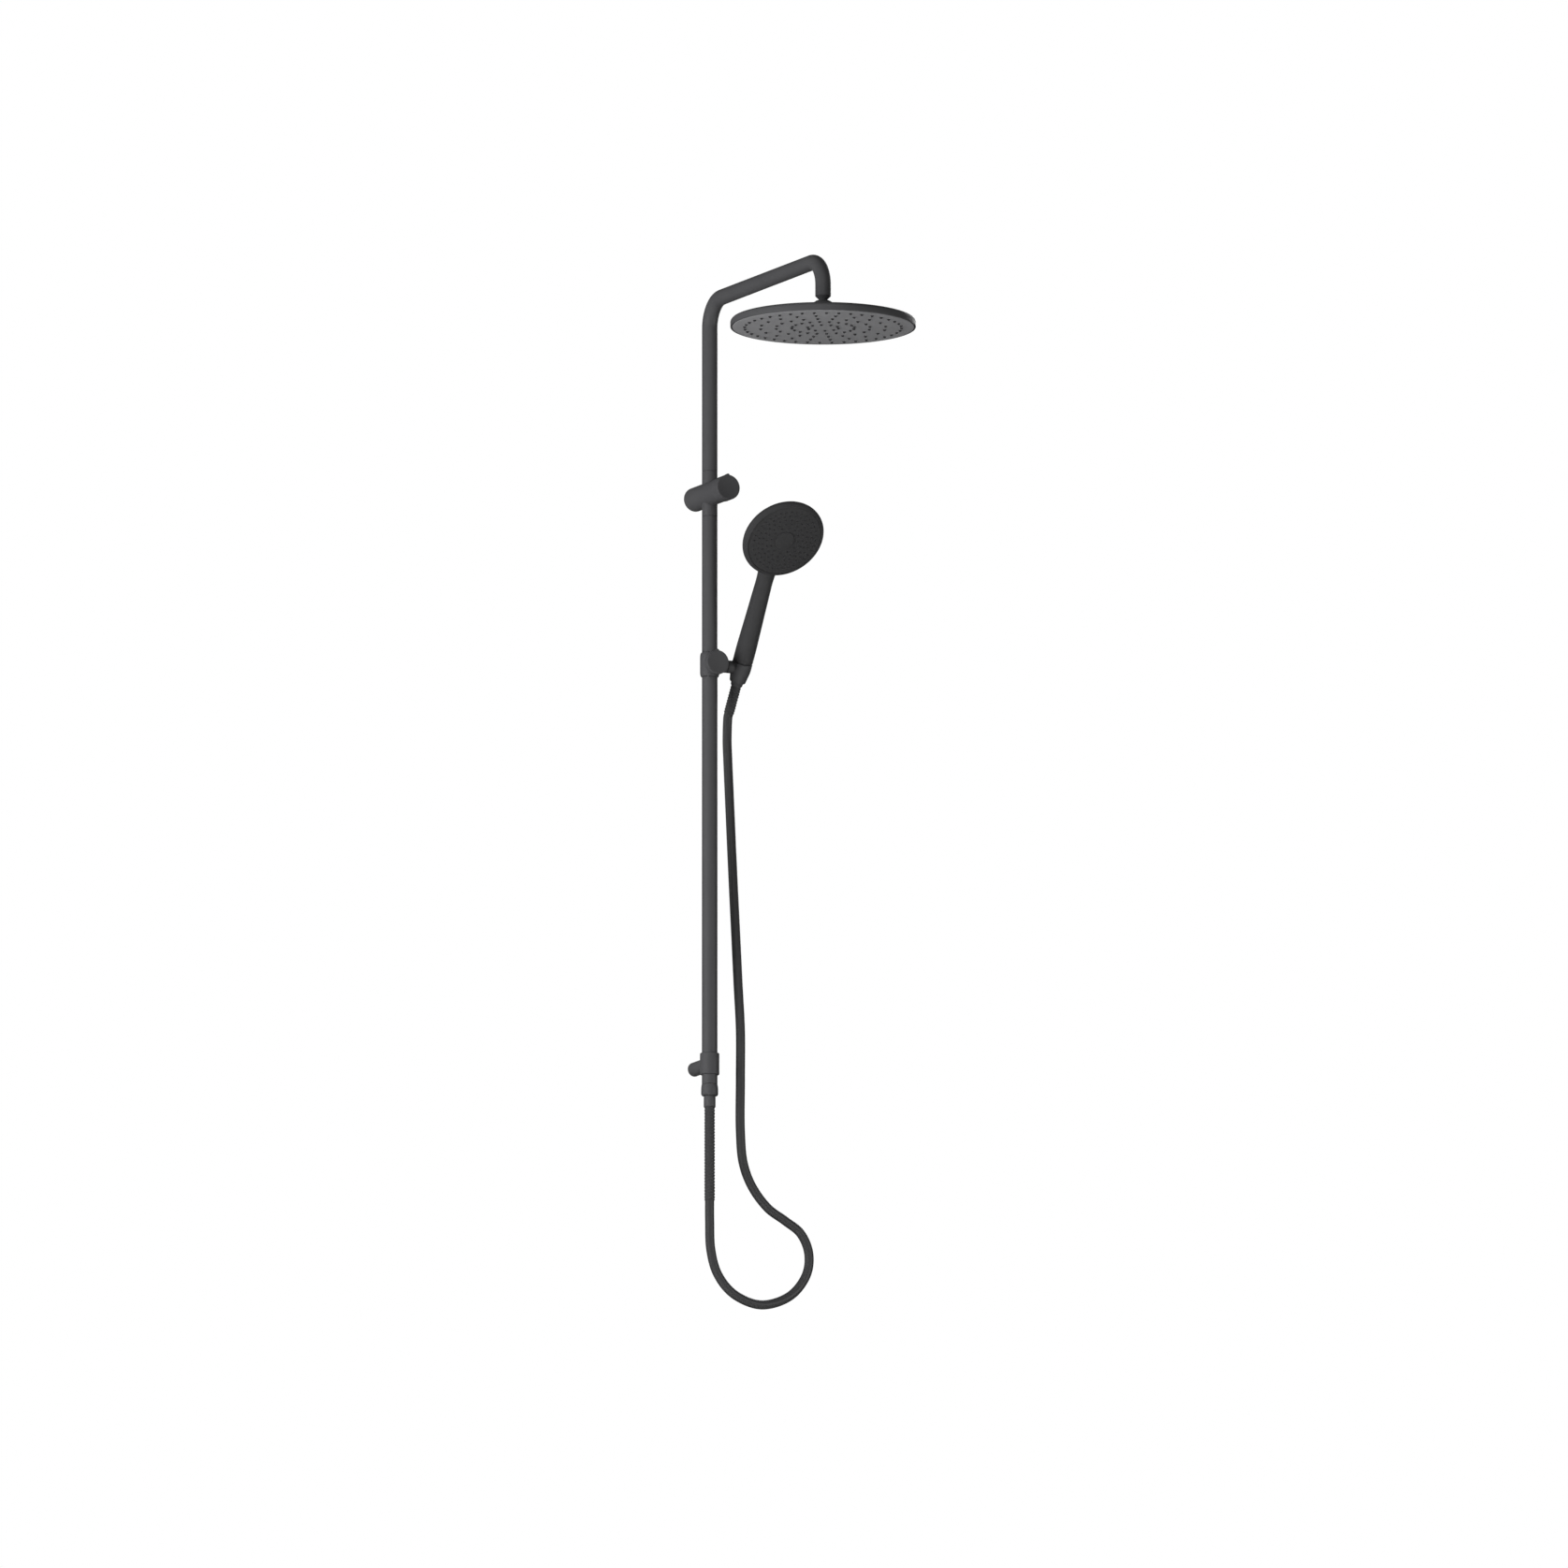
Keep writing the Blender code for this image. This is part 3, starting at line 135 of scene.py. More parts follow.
def spun(profile, matrix, count=64):
    """A (radius, height) profile spun round the frame's Z: x = r cos a, y = r sin a, z = h."""
    profile = np.asarray(profile, float)
    angle = np.linspace(0, 2 * np.pi, count, endpoint=False)
    x = profile[:, :1] * np.cos(angle)
    y = profile[:, :1] * np.sin(angle)
    z = np.repeat(profile[:, 1:], count, axis=1)
    return put(matrix, np.stack([x, y, z], axis=-1))


def filleted(corners, size, steps=5):
    """A profile with its inner corners rounded: each gives way to a parabola that starts and
    ends one fillet size from it, or half an edge where the edge is short."""
    corners = np.asarray(corners, float)
    sizes = np.broadcast_to(size, len(corners))
    out = [corners[:1]]
    t = np.linspace(0, 1, steps)[:, None]
    for before, corner, after, reach in zip(corners, corners[1:], corners[2:], sizes[1:]):
        to_before, to_after = before - corner, after - corner
        length_before, length_after = np.linalg.norm(to_before), np.linalg.norm(to_after)
        step = min(reach, length_before * 0.49, length_after * 0.49)
        a = corner + to_before / length_before * step
        b = corner + to_after / length_after * step
        out.append((1 - t) ** 2 * a + 2 * t * (1 - t) * corner + t ** 2 * b)
    out.append(corners[-1:])
    return np.concatenate(out)


def carried(path, radii, sides=40):
    """A circle of changing radius carried along a path, without twist: p + r (u cos a + v sin a),
    where u is the last section's u less its part along the path, and v is the path's
    direction crossed with u."""
    path = np.asarray(path, float)
    radii = np.broadcast_to(radii, len(path))
    tangent = np.gradient(path, axis=0)
    tangent /= np.linalg.norm(tangent, axis=1, keepdims=True)
    side = np.empty_like(path)
    start = np.array([1.0, 0, 0]) if abs(tangent[0][0]) < 0.9 else np.array([0, 1.0, 0])
    for i, along in enumerate(tangent):
        start = start - along * np.dot(start, along)
        start = start / np.linalg.norm(start)
        side[i] = start
    other = np.cross(tangent, side)
    angle = np.linspace(0, -2 * np.pi, sides, endpoint=False)
    ring = (np.cos(angle)[None, :, None] * side[:, None]
            + np.sin(angle)[None, :, None] * other[:, None])
    return path[:, None] + ring * radii[:, None, None]


def grid_faces(rows, columns, loop_rows, loop_columns, first):
    """Quads between neighbours of a grid of vertices, closed round either way."""
    index = first + np.arange(rows * columns).reshape(rows, columns)
    down = np.roll(index, -1, 0) if loop_rows else index[1:]
    here = index if loop_rows else index[:-1]
    quads = np.stack([here, down, np.roll(down, -1, 1), np.roll(here, -1, 1)], axis=-1)
    if not loop_columns:
        quads = quads[:, :-1]
    return quads.reshape(-1, 4)


def surface(name, *parts, smooth_angle=40):
    """One mesh from grids of points in millimetres. A part is a grid, or a grid with flags:
    "ring" closes it along its rows, "open" leaves its columns open, "caps" closes its ends
    with a centre point. Poles and seams are merged afterwards."""
    vertices, faces, count = [], [], 0
    for part in parts:
        grid, flags = part if isinstance(part, tuple) else (part, ())
        if "caps" in flags:
            ends = grid.mean(axis=1, keepdims=True)[[0, -1]]
            grid = np.concatenate([np.repeat(ends[:1], grid.shape[1], 1), grid,
                                   np.repeat(ends[1:], grid.shape[1], 1)])
        rows, columns = grid.shape[:2]
        vertices.append(grid.reshape(-1, 3))
        faces.append(grid_faces(rows, columns, "ring" in flags, "open" not in flags, count))
        count += rows * columns
    mesh = bpy.data.meshes.new(name)
    mesh.from_pydata(np.concatenate(vertices) * MM, [], np.concatenate(faces).tolist())
    work = bmesh.new()
    work.from_mesh(mesh)
    bmesh.ops.remove_doubles(work, verts=work.verts, dist=1e-7)
    bmesh.ops.dissolve_degenerate(work, dist=1e-8, edges=work.edges)
    bmesh.ops.recalc_face_normals(work, faces=work.faces)
    work.to_mesh(mesh)
    work.free()
    mesh.shade_smooth()
    mesh.set_sharp_from_angle(angle=np.radians(smooth_angle))
    obj = bpy.data.objects.new(name, mesh)
    bpy.context.scene.collection.objects.link(obj)
    return obj


def finish_piece(obj, finish, body, slot, *nodes):
    """Material, the nodes it replaces and the body it rides on. The slot is not used. Where two
    bodies with the start and end points, in millimetres, of a bend between them are given instead,
    they are not used either: the piece is fixed in place and rides on no body."""
    obj.data.materials.clear()
    obj.data.materials.append(finish)
    if isinstance(body, str):
        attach(obj, body)
    else:
        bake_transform(obj)
    if nodes:
        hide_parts(*nodes)
    return obj


# --- Materials ---------------------------------------------------------------------------

def srgb(code):
    """An sRGB hex colour as linear RGBA."""
    channels = np.array([int(code[i:i + 2], 16) for i in (0, 2, 4)]) / 255
    linear = np.where(channels <= 0.04045, channels / 12.92, ((channels + 0.055) / 1.055) ** 2.4)
    return (*linear, 1.0)


def node(tree, kind, settings=None, **links):
    """A node with its sockets set by name; a link is given as (node, output name)."""
    made = tree.nodes.new(kind)
    for key, value in (settings or {}).items():
        if key in made.inputs:
            made.inputs[key].default_value = value
        else:
            setattr(made, key, value)
    for key, (source, output) in links.items():
        tree.links.new(source.outputs[output], made.inputs[key.replace("_", " ")])
    return made


def grained(name, colour, second, metallic, rough, rough_spread, grain_mm, bump_um, coat=0.0,
            patch_mm=60.0):
    """A coloured surface with a fine grain in its relief and a slow drift in colour and gloss.
    Grain and patch sizes are in millimetres, the grain's depth in micrometres."""
    mat = bpy.data.materials.new(name)
    mat.use_nodes = True
    tree = mat.node_tree
    shader = tree.nodes["Principled BSDF"]
    shader.inputs["Metallic"].default_value = metallic
    shader.inputs["Coat Weight"].default_value = coat
    shader.inputs["Coat Roughness"].default_value = 0.25
    where = node(tree, "ShaderNodeTexCoord")
    grain = node(tree, "ShaderNodeTexNoise", {"Scale": 1000 / grain_mm, "Detail": 2.0},
                 Vector=(where, "Object"))
    patch = node(tree, "ShaderNodeTexNoise", {"Scale": 1000 / patch_mm, "Detail": 3.0},
                 Vector=(where, "Object"))
    tint = node(tree, "ShaderNodeMix", {"data_type": "RGBA"})
    tint.inputs[6].default_value = srgb(colour)
    tint.inputs[7].default_value = srgb(second)
    tree.links.new(patch.outputs["Fac"], tint.inputs[0])
    gloss = node(tree, "ShaderNodeMapRange", {"From Min": 0.3, "From Max": 0.7,
                                              "To Min": rough - rough_spread,
                                              "To Max": rough + rough_spread},
                 Value=(patch, "Fac"))
    relief = node(tree, "ShaderNodeBump", {"Strength": 1.0, "Distance": bump_um * 1e-6},
                  Height=(grain, "Fac"))
    tree.links.new(tint.outputs[2], shader.inputs["Base Color"])
    tree.links.new(gloss.outputs["Result"], shader.inputs["Roughness"])
    tree.links.new(relief.outputs["Normal"], shader.inputs["Normal"])
    return mat


# Powder-coated brass: a satin black film with a very fine orange peel about 0.6 mm across,
# which blurs its highlights into soft bands.
COATED_BRASS = grained("powder_coated_brass", "38383a", "3f3f40", 0.0, 0.5, 0.04, 0.6, 6)
# Moulded ABS of the handset: darker and a little duller than the coated metal.
MOULDED_ABS = grained("moulded_black_abs", "29292a", "2e2e2f", 0.0, 0.58, 0.04, 0.4, 3)
# Spray faces, moulded ABS with a spark-eroded texture: matt, grey on the rain head and near
# black on the handset.
SPRAY_FACE = grained("eroded_grey_abs", "7a7a7c", "818183", 0.0, 0.7, 0.04, 0.5, 8)
HAND_FACE = grained("eroded_dark_abs", "2b2b2c", "303031", 0.0, 0.7, 0.04, 0.5, 8)
# Nozzles and seals, moulded silicone: matt black, darker than the face round it.
SILICONE = grained("black_silicone", "222223", "272728", 0.0, 0.65, 0.03, 0.3, 4)
# The hose's outer skin: extruded black PVC, smooth with a soft shine.
EXTRUDED_PVC = grained("extruded_black_pvc", "2c2c2d", "313132", 0.0, 0.44, 0.04, 0.8, 3)
# Turned brass fittings and stainless screws: bare metal, seen only in the seams.
TURNED_BRASS = grained("turned_brass", "b08d4a", "a58344", 1.0, 0.32, 0.05, 0.5, 3)
STAINLESS = grained("stainless_steel", "b4b4b6", "a8a8aa", 1.0, 0.28, 0.05, 0.5, 2)

NODE_FINISH = {"black_metal": COATED_BRASS, "handset_black": MOULDED_ABS,
               "grey_face": SPRAY_FACE, "black_plastic": MOULDED_ABS,
               "hose_black": EXTRUDED_PVC, "rubber": SILICONE, "brass": TURNED_BRASS,
               "steel": STAINLESS}


def finish_frame_nodes():
    """The frame's own solids take the material of their slot."""
    for part in frame["record"]["subparts"]:
        obj = bpy.data.objects.get(part["node"])
        obj.data.materials.clear()
        obj.data.materials.append(NODE_FINISH[part["material_slot"]])


# --- Camera, light and floor -------------------------------------------------------------

def camera():
    """A long lens far away: 26.2 degrees left of the front and 10.5 degrees below it. The
    distance is the width in view times the lens over the sensor."""
    azimuth, elevation = np.radians(26.2), np.radians(10.5)
    right = Vector((np.cos(azimuth), -np.sin(azimuth), 0))
    back = Vector((-np.sin(azimuth) * np.cos(elevation), -np.cos(azimuth) * np.cos(elevation),
                   -np.sin(elevation)))
    up = back.cross(right)
    view_width, lens, sensor = 2.2013, 1600.0, 36.0
    aim_right, aim_down = 0.1042, 0.4068
    data = bpy.data.cameras.new("camera")
    data.lens = lens
    data.sensor_width = sensor
    distance = view_width * lens / sensor
    data.clip_start = 1.0
    data.clip_end = 400.0
    obj = bpy.data.objects.new("camera", data)
    target = Vector((0, RISER_Y * MM, 0)) + right * aim_right - up * aim_down
    turn = Matrix((right, up, back)).transposed().to_4x4()
    obj.matrix_world = Matrix.Translation(target + back * distance) @ turn
    bpy.context.scene.collection.objects.link(obj)
    bpy.context.scene.camera = obj


def area_light(name, place, aim, size, power, gloss=True):
    """A round lamp, in metres and watts. Without gloss it lights but doesn't mirror."""
    data = bpy.data.lights.new(name, "AREA")
    data.shape = "DISK"
    data.size = size
    data.energy = power
    obj = bpy.data.objects.new(name, data)
    place, aim = Vector(place), Vector(aim)
    obj.location = place
    obj.rotation_euler = (aim - place).to_track_quat("-Z", "Y").to_euler()
    obj.visible_glossy = gloss
    bpy.context.scene.collection.objects.link(obj)


def studio():
    """A white backdrop to the eye, a soft grey room to the surfaces, and four large lamps."""
    scene = bpy.context.scene
    scene.view_settings.view_transform = "Standard"
    world = bpy.data.worlds.new("white_studio")
    scene.world = world
    world.use_nodes = True
    tree = world.node_tree
    tree.nodes.clear()
    where = node(tree, "ShaderNodeTexCoord")
    axes = node(tree, "ShaderNodeSeparateXYZ", Vector=(where, "Generated"))
    front = node(tree, "ShaderNodeMapRange", {"From Min": -1.0, "From Max": 0.6,
                                              "To Min": 0.24, "To Max": 0.14},
                 Value=(axes, "Y"))
    room = node(tree, "ShaderNodeBackground", Strength=(front, "Result"))
    backdrop = node(tree, "ShaderNodeBackground", {"Color": (1, 1, 1, 1), "Strength": 1.0})
    ray = node(tree, "ShaderNodeLightPath")
    mix = node(tree, "ShaderNodeMixShader", Fac=(ray, "Is Camera Ray"))
    tree.links.new(room.outputs[0], mix.inputs[1])
    tree.links.new(backdrop.outputs[0], mix.inputs[2])
    node(tree, "ShaderNodeOutputWorld", Surface=(mix, "Shader"))
    area_light("key_lamp", (-1.0, -3.0, 1.2), (0, -0.2, -0.3), 1.8, 9)
    area_light("fill_lamp", (1.8, -2.4, -1.0), (0, -0.2, -0.2), 2.0, 20)
    area_light("left_lamp", (-2.6, -0.7, -0.45), (0, -0.15, -0.2), 2.2, 145, gloss=False)
    area_light("back_lamp", (2.2, 2.0, 0.9), (0, -0.15, -0.3), 2.2, 40)


def floor():
    """A pale plastered floor below the column, where a shower's floor would be: z = level."""
    half_width, depth, level = 1200, 1500, -1920
    x, y = np.meshgrid(np.linspace(-half_width, half_width, 9), np.linspace(-depth, 0, 9),
                       indexing="ij")
    obj = surface("floor", (np.stack([x, y, np.full_like(x, level)], axis=-1), ("open",)))
    plaster = grained("pale_plaster", "e9e8e6", "efeeec", 0.0, 0.85, 0.03, 2.0, 40)
    obj.data.materials.append(plaster)


# --- Column ------------------------------------------------------------------------------

def quarter(corner, leg_in, leg_out, radius, steps=22):
    """A quarter bend that leaves the incoming leg one radius before the corner:
    c - r i + r (i sin a + o (1 - cos a)), for the legs' directions i and o."""
    a = np.radians(np.linspace(0, 90, steps))[:, None]
    corner, leg_in, leg_out = (np.array(v, float) for v in (corner, leg_in, leg_out))
    return corner + radius * (leg_in * (np.sin(a) - 1) + leg_out * (1 - np.cos(a)))


def straight(start, end, steps=2):
    """Points from start to end: s (1 - t) + e t."""
    t = np.linspace(0, 1, steps)[:, None]
    return np.array(start, float) * (1 - t) + np.array(end, float) * t


def gooseneck():
    """The bent tube, a circle carried up the riser, round a quarter bend, along the arm, round
    a second bend and down the drop. Its ends are half a millimetre narrower."""
    up, forward, down = (0, 0, 1), (0, -1, 0), (0, 0, -1)
    drop_y = RISER_Y - ARM_REACH
    bend_z = ARM_Z - BEND_R - 1
    path = np.concatenate([
        straight((0, RISER_Y, NECK_END + SEAM), (0, RISER_Y, NECK_END + SEAM + 0.5)),
        straight((0, RISER_Y, NECK_END + 2), (0, RISER_Y, bend_z), 5),
        quarter((0, RISER_Y, ARM_Z), up, forward, BEND_R),
        straight((0, RISER_Y - BEND_R - 1, ARM_Z), (0, drop_y + BEND_R + 1, ARM_Z), 6),
        quarter((0, drop_y, ARM_Z), forward, down, BEND_R),
        straight((0, drop_y, bend_z), (0, drop_y, DROP_END_Z + 0.5)),
        straight((0, drop_y, DROP_END_Z + 0.2), (0, drop_y, DROP_END_Z))])
    radii = np.full(len(path), TUBE_R)
    radii[0] = radii[-1] = TUBE_R - 0.5
    tube = surface("gooseneck", (carried(path, radii, 56), ("caps",)))
    finish_piece(tube, COATED_BRASS, "column", "black_metal", "gooseneck_tube")


def rail():
    """A straight cylinder, r = tube radius, with both edges broken by half a millimetre."""
    top, bottom = -NECK_END - SEAM, RAIL_BOTTOM_Z
    profile = filleted([(0, top), (TUBE_R, top), (TUBE_R, bottom), (0, bottom)], 0.5)
    finish_piece(surface("rail", spun(profile, RISER, 56)), COATED_BRASS, "column",
                 "black_metal", "rail_tube")


def diverter():
    """A barrel spun round the line out of the wall, with the inlet's blind bore in its back,
    and two necks spun round the riser, each with a spigot that fills the seam to its tube."""
    bore_r, bore_depth = 10.5, 13.0
    barrel = filleted([(0, BARREL_LENGTH), (BARREL_R, BARREL_LENGTH), (BARREL_R, 0), (bore_r, 0)],
                      [0, 0.6, 4.0, 0], 9)
    bore = [(bore_r, bore_depth), (0, bore_depth)]
    spigot_r, spigot_end = TUBE_R - 1.2, NECK_END + 3.0
    neck = filleted([(0, spigot_end), (spigot_r, spigot_end), (spigot_r, NECK_END),
                     (TUBE_R, NECK_END), (TUBE_R, 10.0), (0, 10.0)], [0, 0, 0, 0.4, 0.2, 0], 5)
    foot = neck[::-1] * (1, -1)
    body = surface("diverter_barrel", spun(np.concatenate([barrel, bore]), TO_FRONT, 72),
                   spun(neck, RISER, 56), spun(foot, RISER, 56))
    finish_piece(body, COATED_BRASS, "column", "black_metal", "diverter_body")


def knob_profile(radius, back, front):
    """A short drum with a softened rim and a dished face: h = front - d (1 - (r / R)^2)."""
    dish_r, dish_depth = radius - 2.4, 0.5
    r = np.linspace(0, dish_r, 10)
    dish = np.stack([r, front - dish_depth * (1 - (r / dish_r) ** 2)], axis=1)
    side = filleted([(dish_r, front), (radius, front), (radius, back), (0, back)],
                    [0, 1.6, 0.5, 0], 6)
    return np.concatenate([dish, side])


def knob(name, frame_matrix, radius, back, front, body, node_name):
    """The drum spun round the line out of the wall, and a nib, a small rod with rounded ends,
    set into its upper edge."""
    nib_r, nib_back, nib_front = 2.2, front - 9, front - 0.5
    nib = filleted([(0, nib_front), (nib_r, nib_front), (nib_r, nib_back), (0, nib_back)], 1.0, 5)
    above = frame_matrix @ Matrix.Translation((0, 0, radius - 0.25)) @ TO_FRONT
    piece = surface(name, spun(knob_profile(radius, back, front), frame_matrix @ TO_FRONT, 72),
                    spun(nib, above, 24))
    finish_piece(piece, COATED_BRASS, body, "black_metal", node_name)


def bracket():
    """A collar spun round the rail, and a post spun round the line out of the wall with the
    stud's blind bore in its back."""
    half, post_r, bore_r, bore_depth = 15.5, 10.0, 6.3, 21.0
    collar = filleted([(0, half), (COLLAR_R, half), (COLLAR_R, -half), (0, -half)], 1.8, 6)
    post = filleted([(0, -RISER_Y), (post_r, -RISER_Y), (post_r, 0), (bore_r, 0)],
                    [0, 0.3, 0.8, 0], 5)
    bore = [(bore_r, bore_depth), (0, bore_depth)]
    wall = placed(0, 0, BRACKET_Z) @ TO_FRONT
    piece = surface("wall_bracket", spun(collar, placed(0, RISER_Y, BRACKET_Z), 56),
                    spun(np.concatenate([post, bore]), wall, 56))
    finish_piece(piece, COATED_BRASS, "column", "black_metal", "lower_bracket")


# --- Hose --------------------------------------------------------------------------------

# Heights where the hose is cut from one piece to the next.
LOOP_START, LOOP_END, RUN_END, BEND_END = -1050.0, -900.0, -540.0, -455.0
# The upper guard's top and bottom along the handle.
TOP_GUARD = (-28.3, -70.3)


def guard_profile(top, bottom, pitch=4.4):
    """A spring guard's outline: r = R - d + d cos(2 pi n), for n ribs from its top, and it runs
    in to the hose at both ends."""
    rib_depth, end_r, inner_r = 0.35, GUARD_R - 0.3, HOSE_R - 0.5
    count = int(round((top - bottom) / pitch))
    z = np.linspace(top, bottom, count * 8 + 1)
    phase = (top - z) / (top - bottom) * count
    r = GUARD_R - rib_depth + rib_depth * np.cos(2 * np.pi * phase)
    return np.concatenate([[(inner_r, top), (end_r, top)], np.stack([r, z], 1)[1:-1],
                           [(end_r, bottom), (inner_r, bottom)]])


def foot_bend(loop_start):
    """The bend handed to the hose's foot and the guard on it, half of the slide by the loop's
    start; finish_piece doesn't apply it, so both stay fixed in place.
    """
    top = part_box("hose_lower_spring")[1][2] / MM
    return ("column", "slider_carriage", (0, RISER_Y, top), (0, RISER_Y, 2 * loop_start - top))


def sleeve(name, profile, frame_matrix, count, finish, body, slot, node_name):
    """A profile closed on itself and spun round the frame's Z, with its middle left open."""
    piece = surface(name, (spun(profile, frame_matrix, count), ("ring",)))
    finish_piece(piece, finish, body, slot, node_name)


def hose_ends():
    """The nut, ferrule and guard under the rail, and the cone nut and guard on the handset."""
    foot = placed(0, RISER_Y, RAIL_BOTTOM_Z)
    nut = filleted([(9.0, -0.4), (11.3, -0.4), (12.0, -5.0), (12.0, -14.6), (10.3, -16.7),
                    (6.0, -16.7)], [0, 0.4, 2.5, 1.0, 1.0, 0], 6)
    sleeve("hose_foot_nut", nut, foot, 56, COATED_BRASS, "column", "black_metal",
           "hose_lower_nut")
    guard_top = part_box("hose_lower_spring")[1][2] / MM - RAIL_BOTTOM_Z
    guard_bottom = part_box("hose_lower_spring")[0][2] / MM - RAIL_BOTTOM_Z
    end, top = guard_top + SEAM, guard_top + SEAM + 14.0
    ferrule = filleted([(5.0, top + 2), (7.9, top + 2), (7.9, top + 0.2), (8.35, top),
                        (8.35, end), (5.8, end), (5.8, guard_top - 2), (5.0, guard_top - 2)],
                       [0, 0.4, 0.1, 0.6, 0.5, 0, 0, 0], 5)
    sleeve("hose_foot_ferrule", ferrule, foot, 56, COATED_BRASS, "column", "black_metal",
           "hose_lower_ferrule")
    sleeve("hose_foot_guard", guard_profile(guard_top, guard_bottom), foot, 40, EXTRUDED_PVC,
           foot_bend(LOOP_START), "hose_black", "hose_lower_spring")
    cone = filleted([(9.6, 8.6), (12.05, 8.6), (8.9, -22.0), (8.3, -28.0), (6.6, -28.0)],
                    [0, 0.3, 2.0, 0.7, 0], 5)
    sleeve("hose_cone_nut", cone, HANDLE, 56, COATED_BRASS, "handset", "black_metal",
           "hose_upper_nut")
    sleeve("hose_top_guard", guard_profile(*TOP_GUARD), HANDLE, 40, EXTRUDED_PVC, "handset",
           "hose_black", "hose_upper_spring")


def hose_route():
    """The hose's centreline, from listed points: down from the rail, round a loop in a plane
    parallel to the wall, and up beside the rail into the handset's guard."""
    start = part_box("hose_lower_spring")[1][2] / MM
    loop = [(0, start), (0, -930), (0, -990), (0, -1035), (2, -1078), (12.5, -1111),
            (37, -1137), (80, -1149.5), (126, -1133), (151.6, -1100), (154.5, -1069),
            (142, -1043), (118, -1027), (91, -1011), (66, -982), (52.5, -950)]
    run = [(0, -905), (0, -830), (0, -761), (-7.5, -693), (-14.6, -625), (-21.9, -557),
           (-28.7, -489), (-35.2, -421), (-40.2, -368), (-42.3, -340)]
    points = [(x, RISER_Y, z) for x, z in loop]
    points += [(SOCKET_X, RISER_Y - forward, z) for forward, z in run]
    in_guard = np.array([(0, 0, h) for h in (-76.3, -72.3, -58.3, -33.0)])
    return np.concatenate([np.array(points, float), put(HANDLE, in_guard)])


def smooth_line(points, per_span=24):
    """A curve through the points, centripetal Catmull-Rom: between b and c it blends the lines
    of a, b, c and d, timed by the square root of their distances. Then even steps."""
    step = 2.0
    ends = np.concatenate([[2 * points[0] - points[1]], points, [2 * points[-1] - points[-2]]])
    t = np.linspace(0, 1, per_span, endpoint=False)[:, None]
    fine = []
    for a, b, c, d in zip(ends, ends[1:], ends[2:], ends[3:]):
        t1 = np.linalg.norm(b - a) ** 0.5
        t2 = t1 + np.linalg.norm(c - b) ** 0.5
        t3 = t2 + np.linalg.norm(d - c) ** 0.5
        s = t1 + (t2 - t1) * t
        a1 = a + (b - a) * s / t1
        a2 = b + (c - b) * (s - t1) / (t2 - t1)
        a3 = c + (d - c) * (s - t2) / (t3 - t2)
        b1 = a1 + (a2 - a1) * s / t2
        b2 = a2 + (a3 - a2) * (s - t1) / (t3 - t1)
        fine.append(b1 + (b2 - b1) * (s - t1) / (t2 - t1))
    fine = np.concatenate(fine + [points[-1:]])
    reach = np.concatenate([[0], np.cumsum(np.linalg.norm(np.diff(fine, axis=0), axis=1))])
    even = np.linspace(0, reach[-1], int(reach[-1] / step))
    return np.stack([np.interp(even, reach, fine[:, k]) for k in range(3)], axis=1)


def hose():
    """Five tubes end to end, each a circle carried along its stretch of the line. Each tube is
    handed a bend between two bodies: the loop's by half as far as the holder slides, with its two
    legs leading into that, and the loop's own bend spread so far to both sides of it that all of
    it would follow by half.
    finish_piece doesn't apply these bends, so the tubes stay fixed in place."""
    far = 8000
    line = smooth_line(hose_route())
    z = line[:, 2]
    lowest = int(np.argmin(z))
    index = np.arange(len(z))
    cuts = [0, int(np.argmax(z <= LOOP_START))]
    for height in (LOOP_END, RUN_END, BEND_END):
        cuts.append(int(np.argmax((z >= height) & (index > lowest))))
    cuts.append(len(z) - 1)
    names = ("hose_foot", "hose_slack_loop", "hose_beside_rail", "hose_below_holder", "hose_head")
    nodes = ("hose_riser_leg", "hose_loop", "hose_run", "hose_bend", "hose_top")
    riser = np.array([0, RISER_Y, 0.0])
    loop_start, loop_end, run_end, bend_end = z[cuts[1:5]]
    blends = [
        foot_bend(loop_start),
        ("column", "slider_carriage", riser + (0, -far, loop_start), riser + (0, far, loop_start)),
        ("column", "slider_carriage", riser + (0, 0, 2 * loop_end - run_end),
         riser + (0, 0, run_end)),
        ("slider_carriage", "slider_body", riser + (0, 0, run_end), riser + (0, 0, bend_end)),
        ("slider_body", "holder", line[cuts[4]], put(HANDLE, np.array([0, 0, TOP_GUARD[1]])))]
    for name, node_name, low, high, bend in zip(names, nodes, cuts, cuts[1:], blends):
        path = line[low:high + 1]
        tube = surface(name, (carried(path, HOSE_R, 32), ("caps",)))
        finish_piece(tube, EXTRUDED_PVC, bend, "hose_black", node_name)


# --- Slider and holder -------------------------------------------------------------------

def slider():
    """A clamp collar spun round the rail, a boss for the lock screw in front and a stub with
    the pivot's bore at its side."""
    half, lip = 17.0, 11.5
    collar = filleted([(lip, half), (12.4, half), (COLLAR_R, half - 3.5), (COLLAR_R, 3.5 - half),
                       (12.4, -half), (lip, -half)], [0, 0.4, 2.0, 2.0, 0.4, 0], 6)
    boss = filleted([(0, 17), (11, 17), (11, 5), (0, 5)], [0, 0.5, 0, 0], 4)
    stub = filleted([(4, 24.8), (9, 24.8), (9, 8), (0, 8)], [0, 0.4, 0, 0], 4)
    body = surface("slider_clamp", (spun(collar, SLIDER, 64), ("ring",)),
                   spun(boss, SLIDER @ TO_FRONT, 56),
                   spun(np.concatenate([[(0, 24.8)], stub]), SLIDER @ TO_SIDE, 48))
    finish_piece(body, COATED_BRASS, "slider_body", "black_metal", "slider_collar")


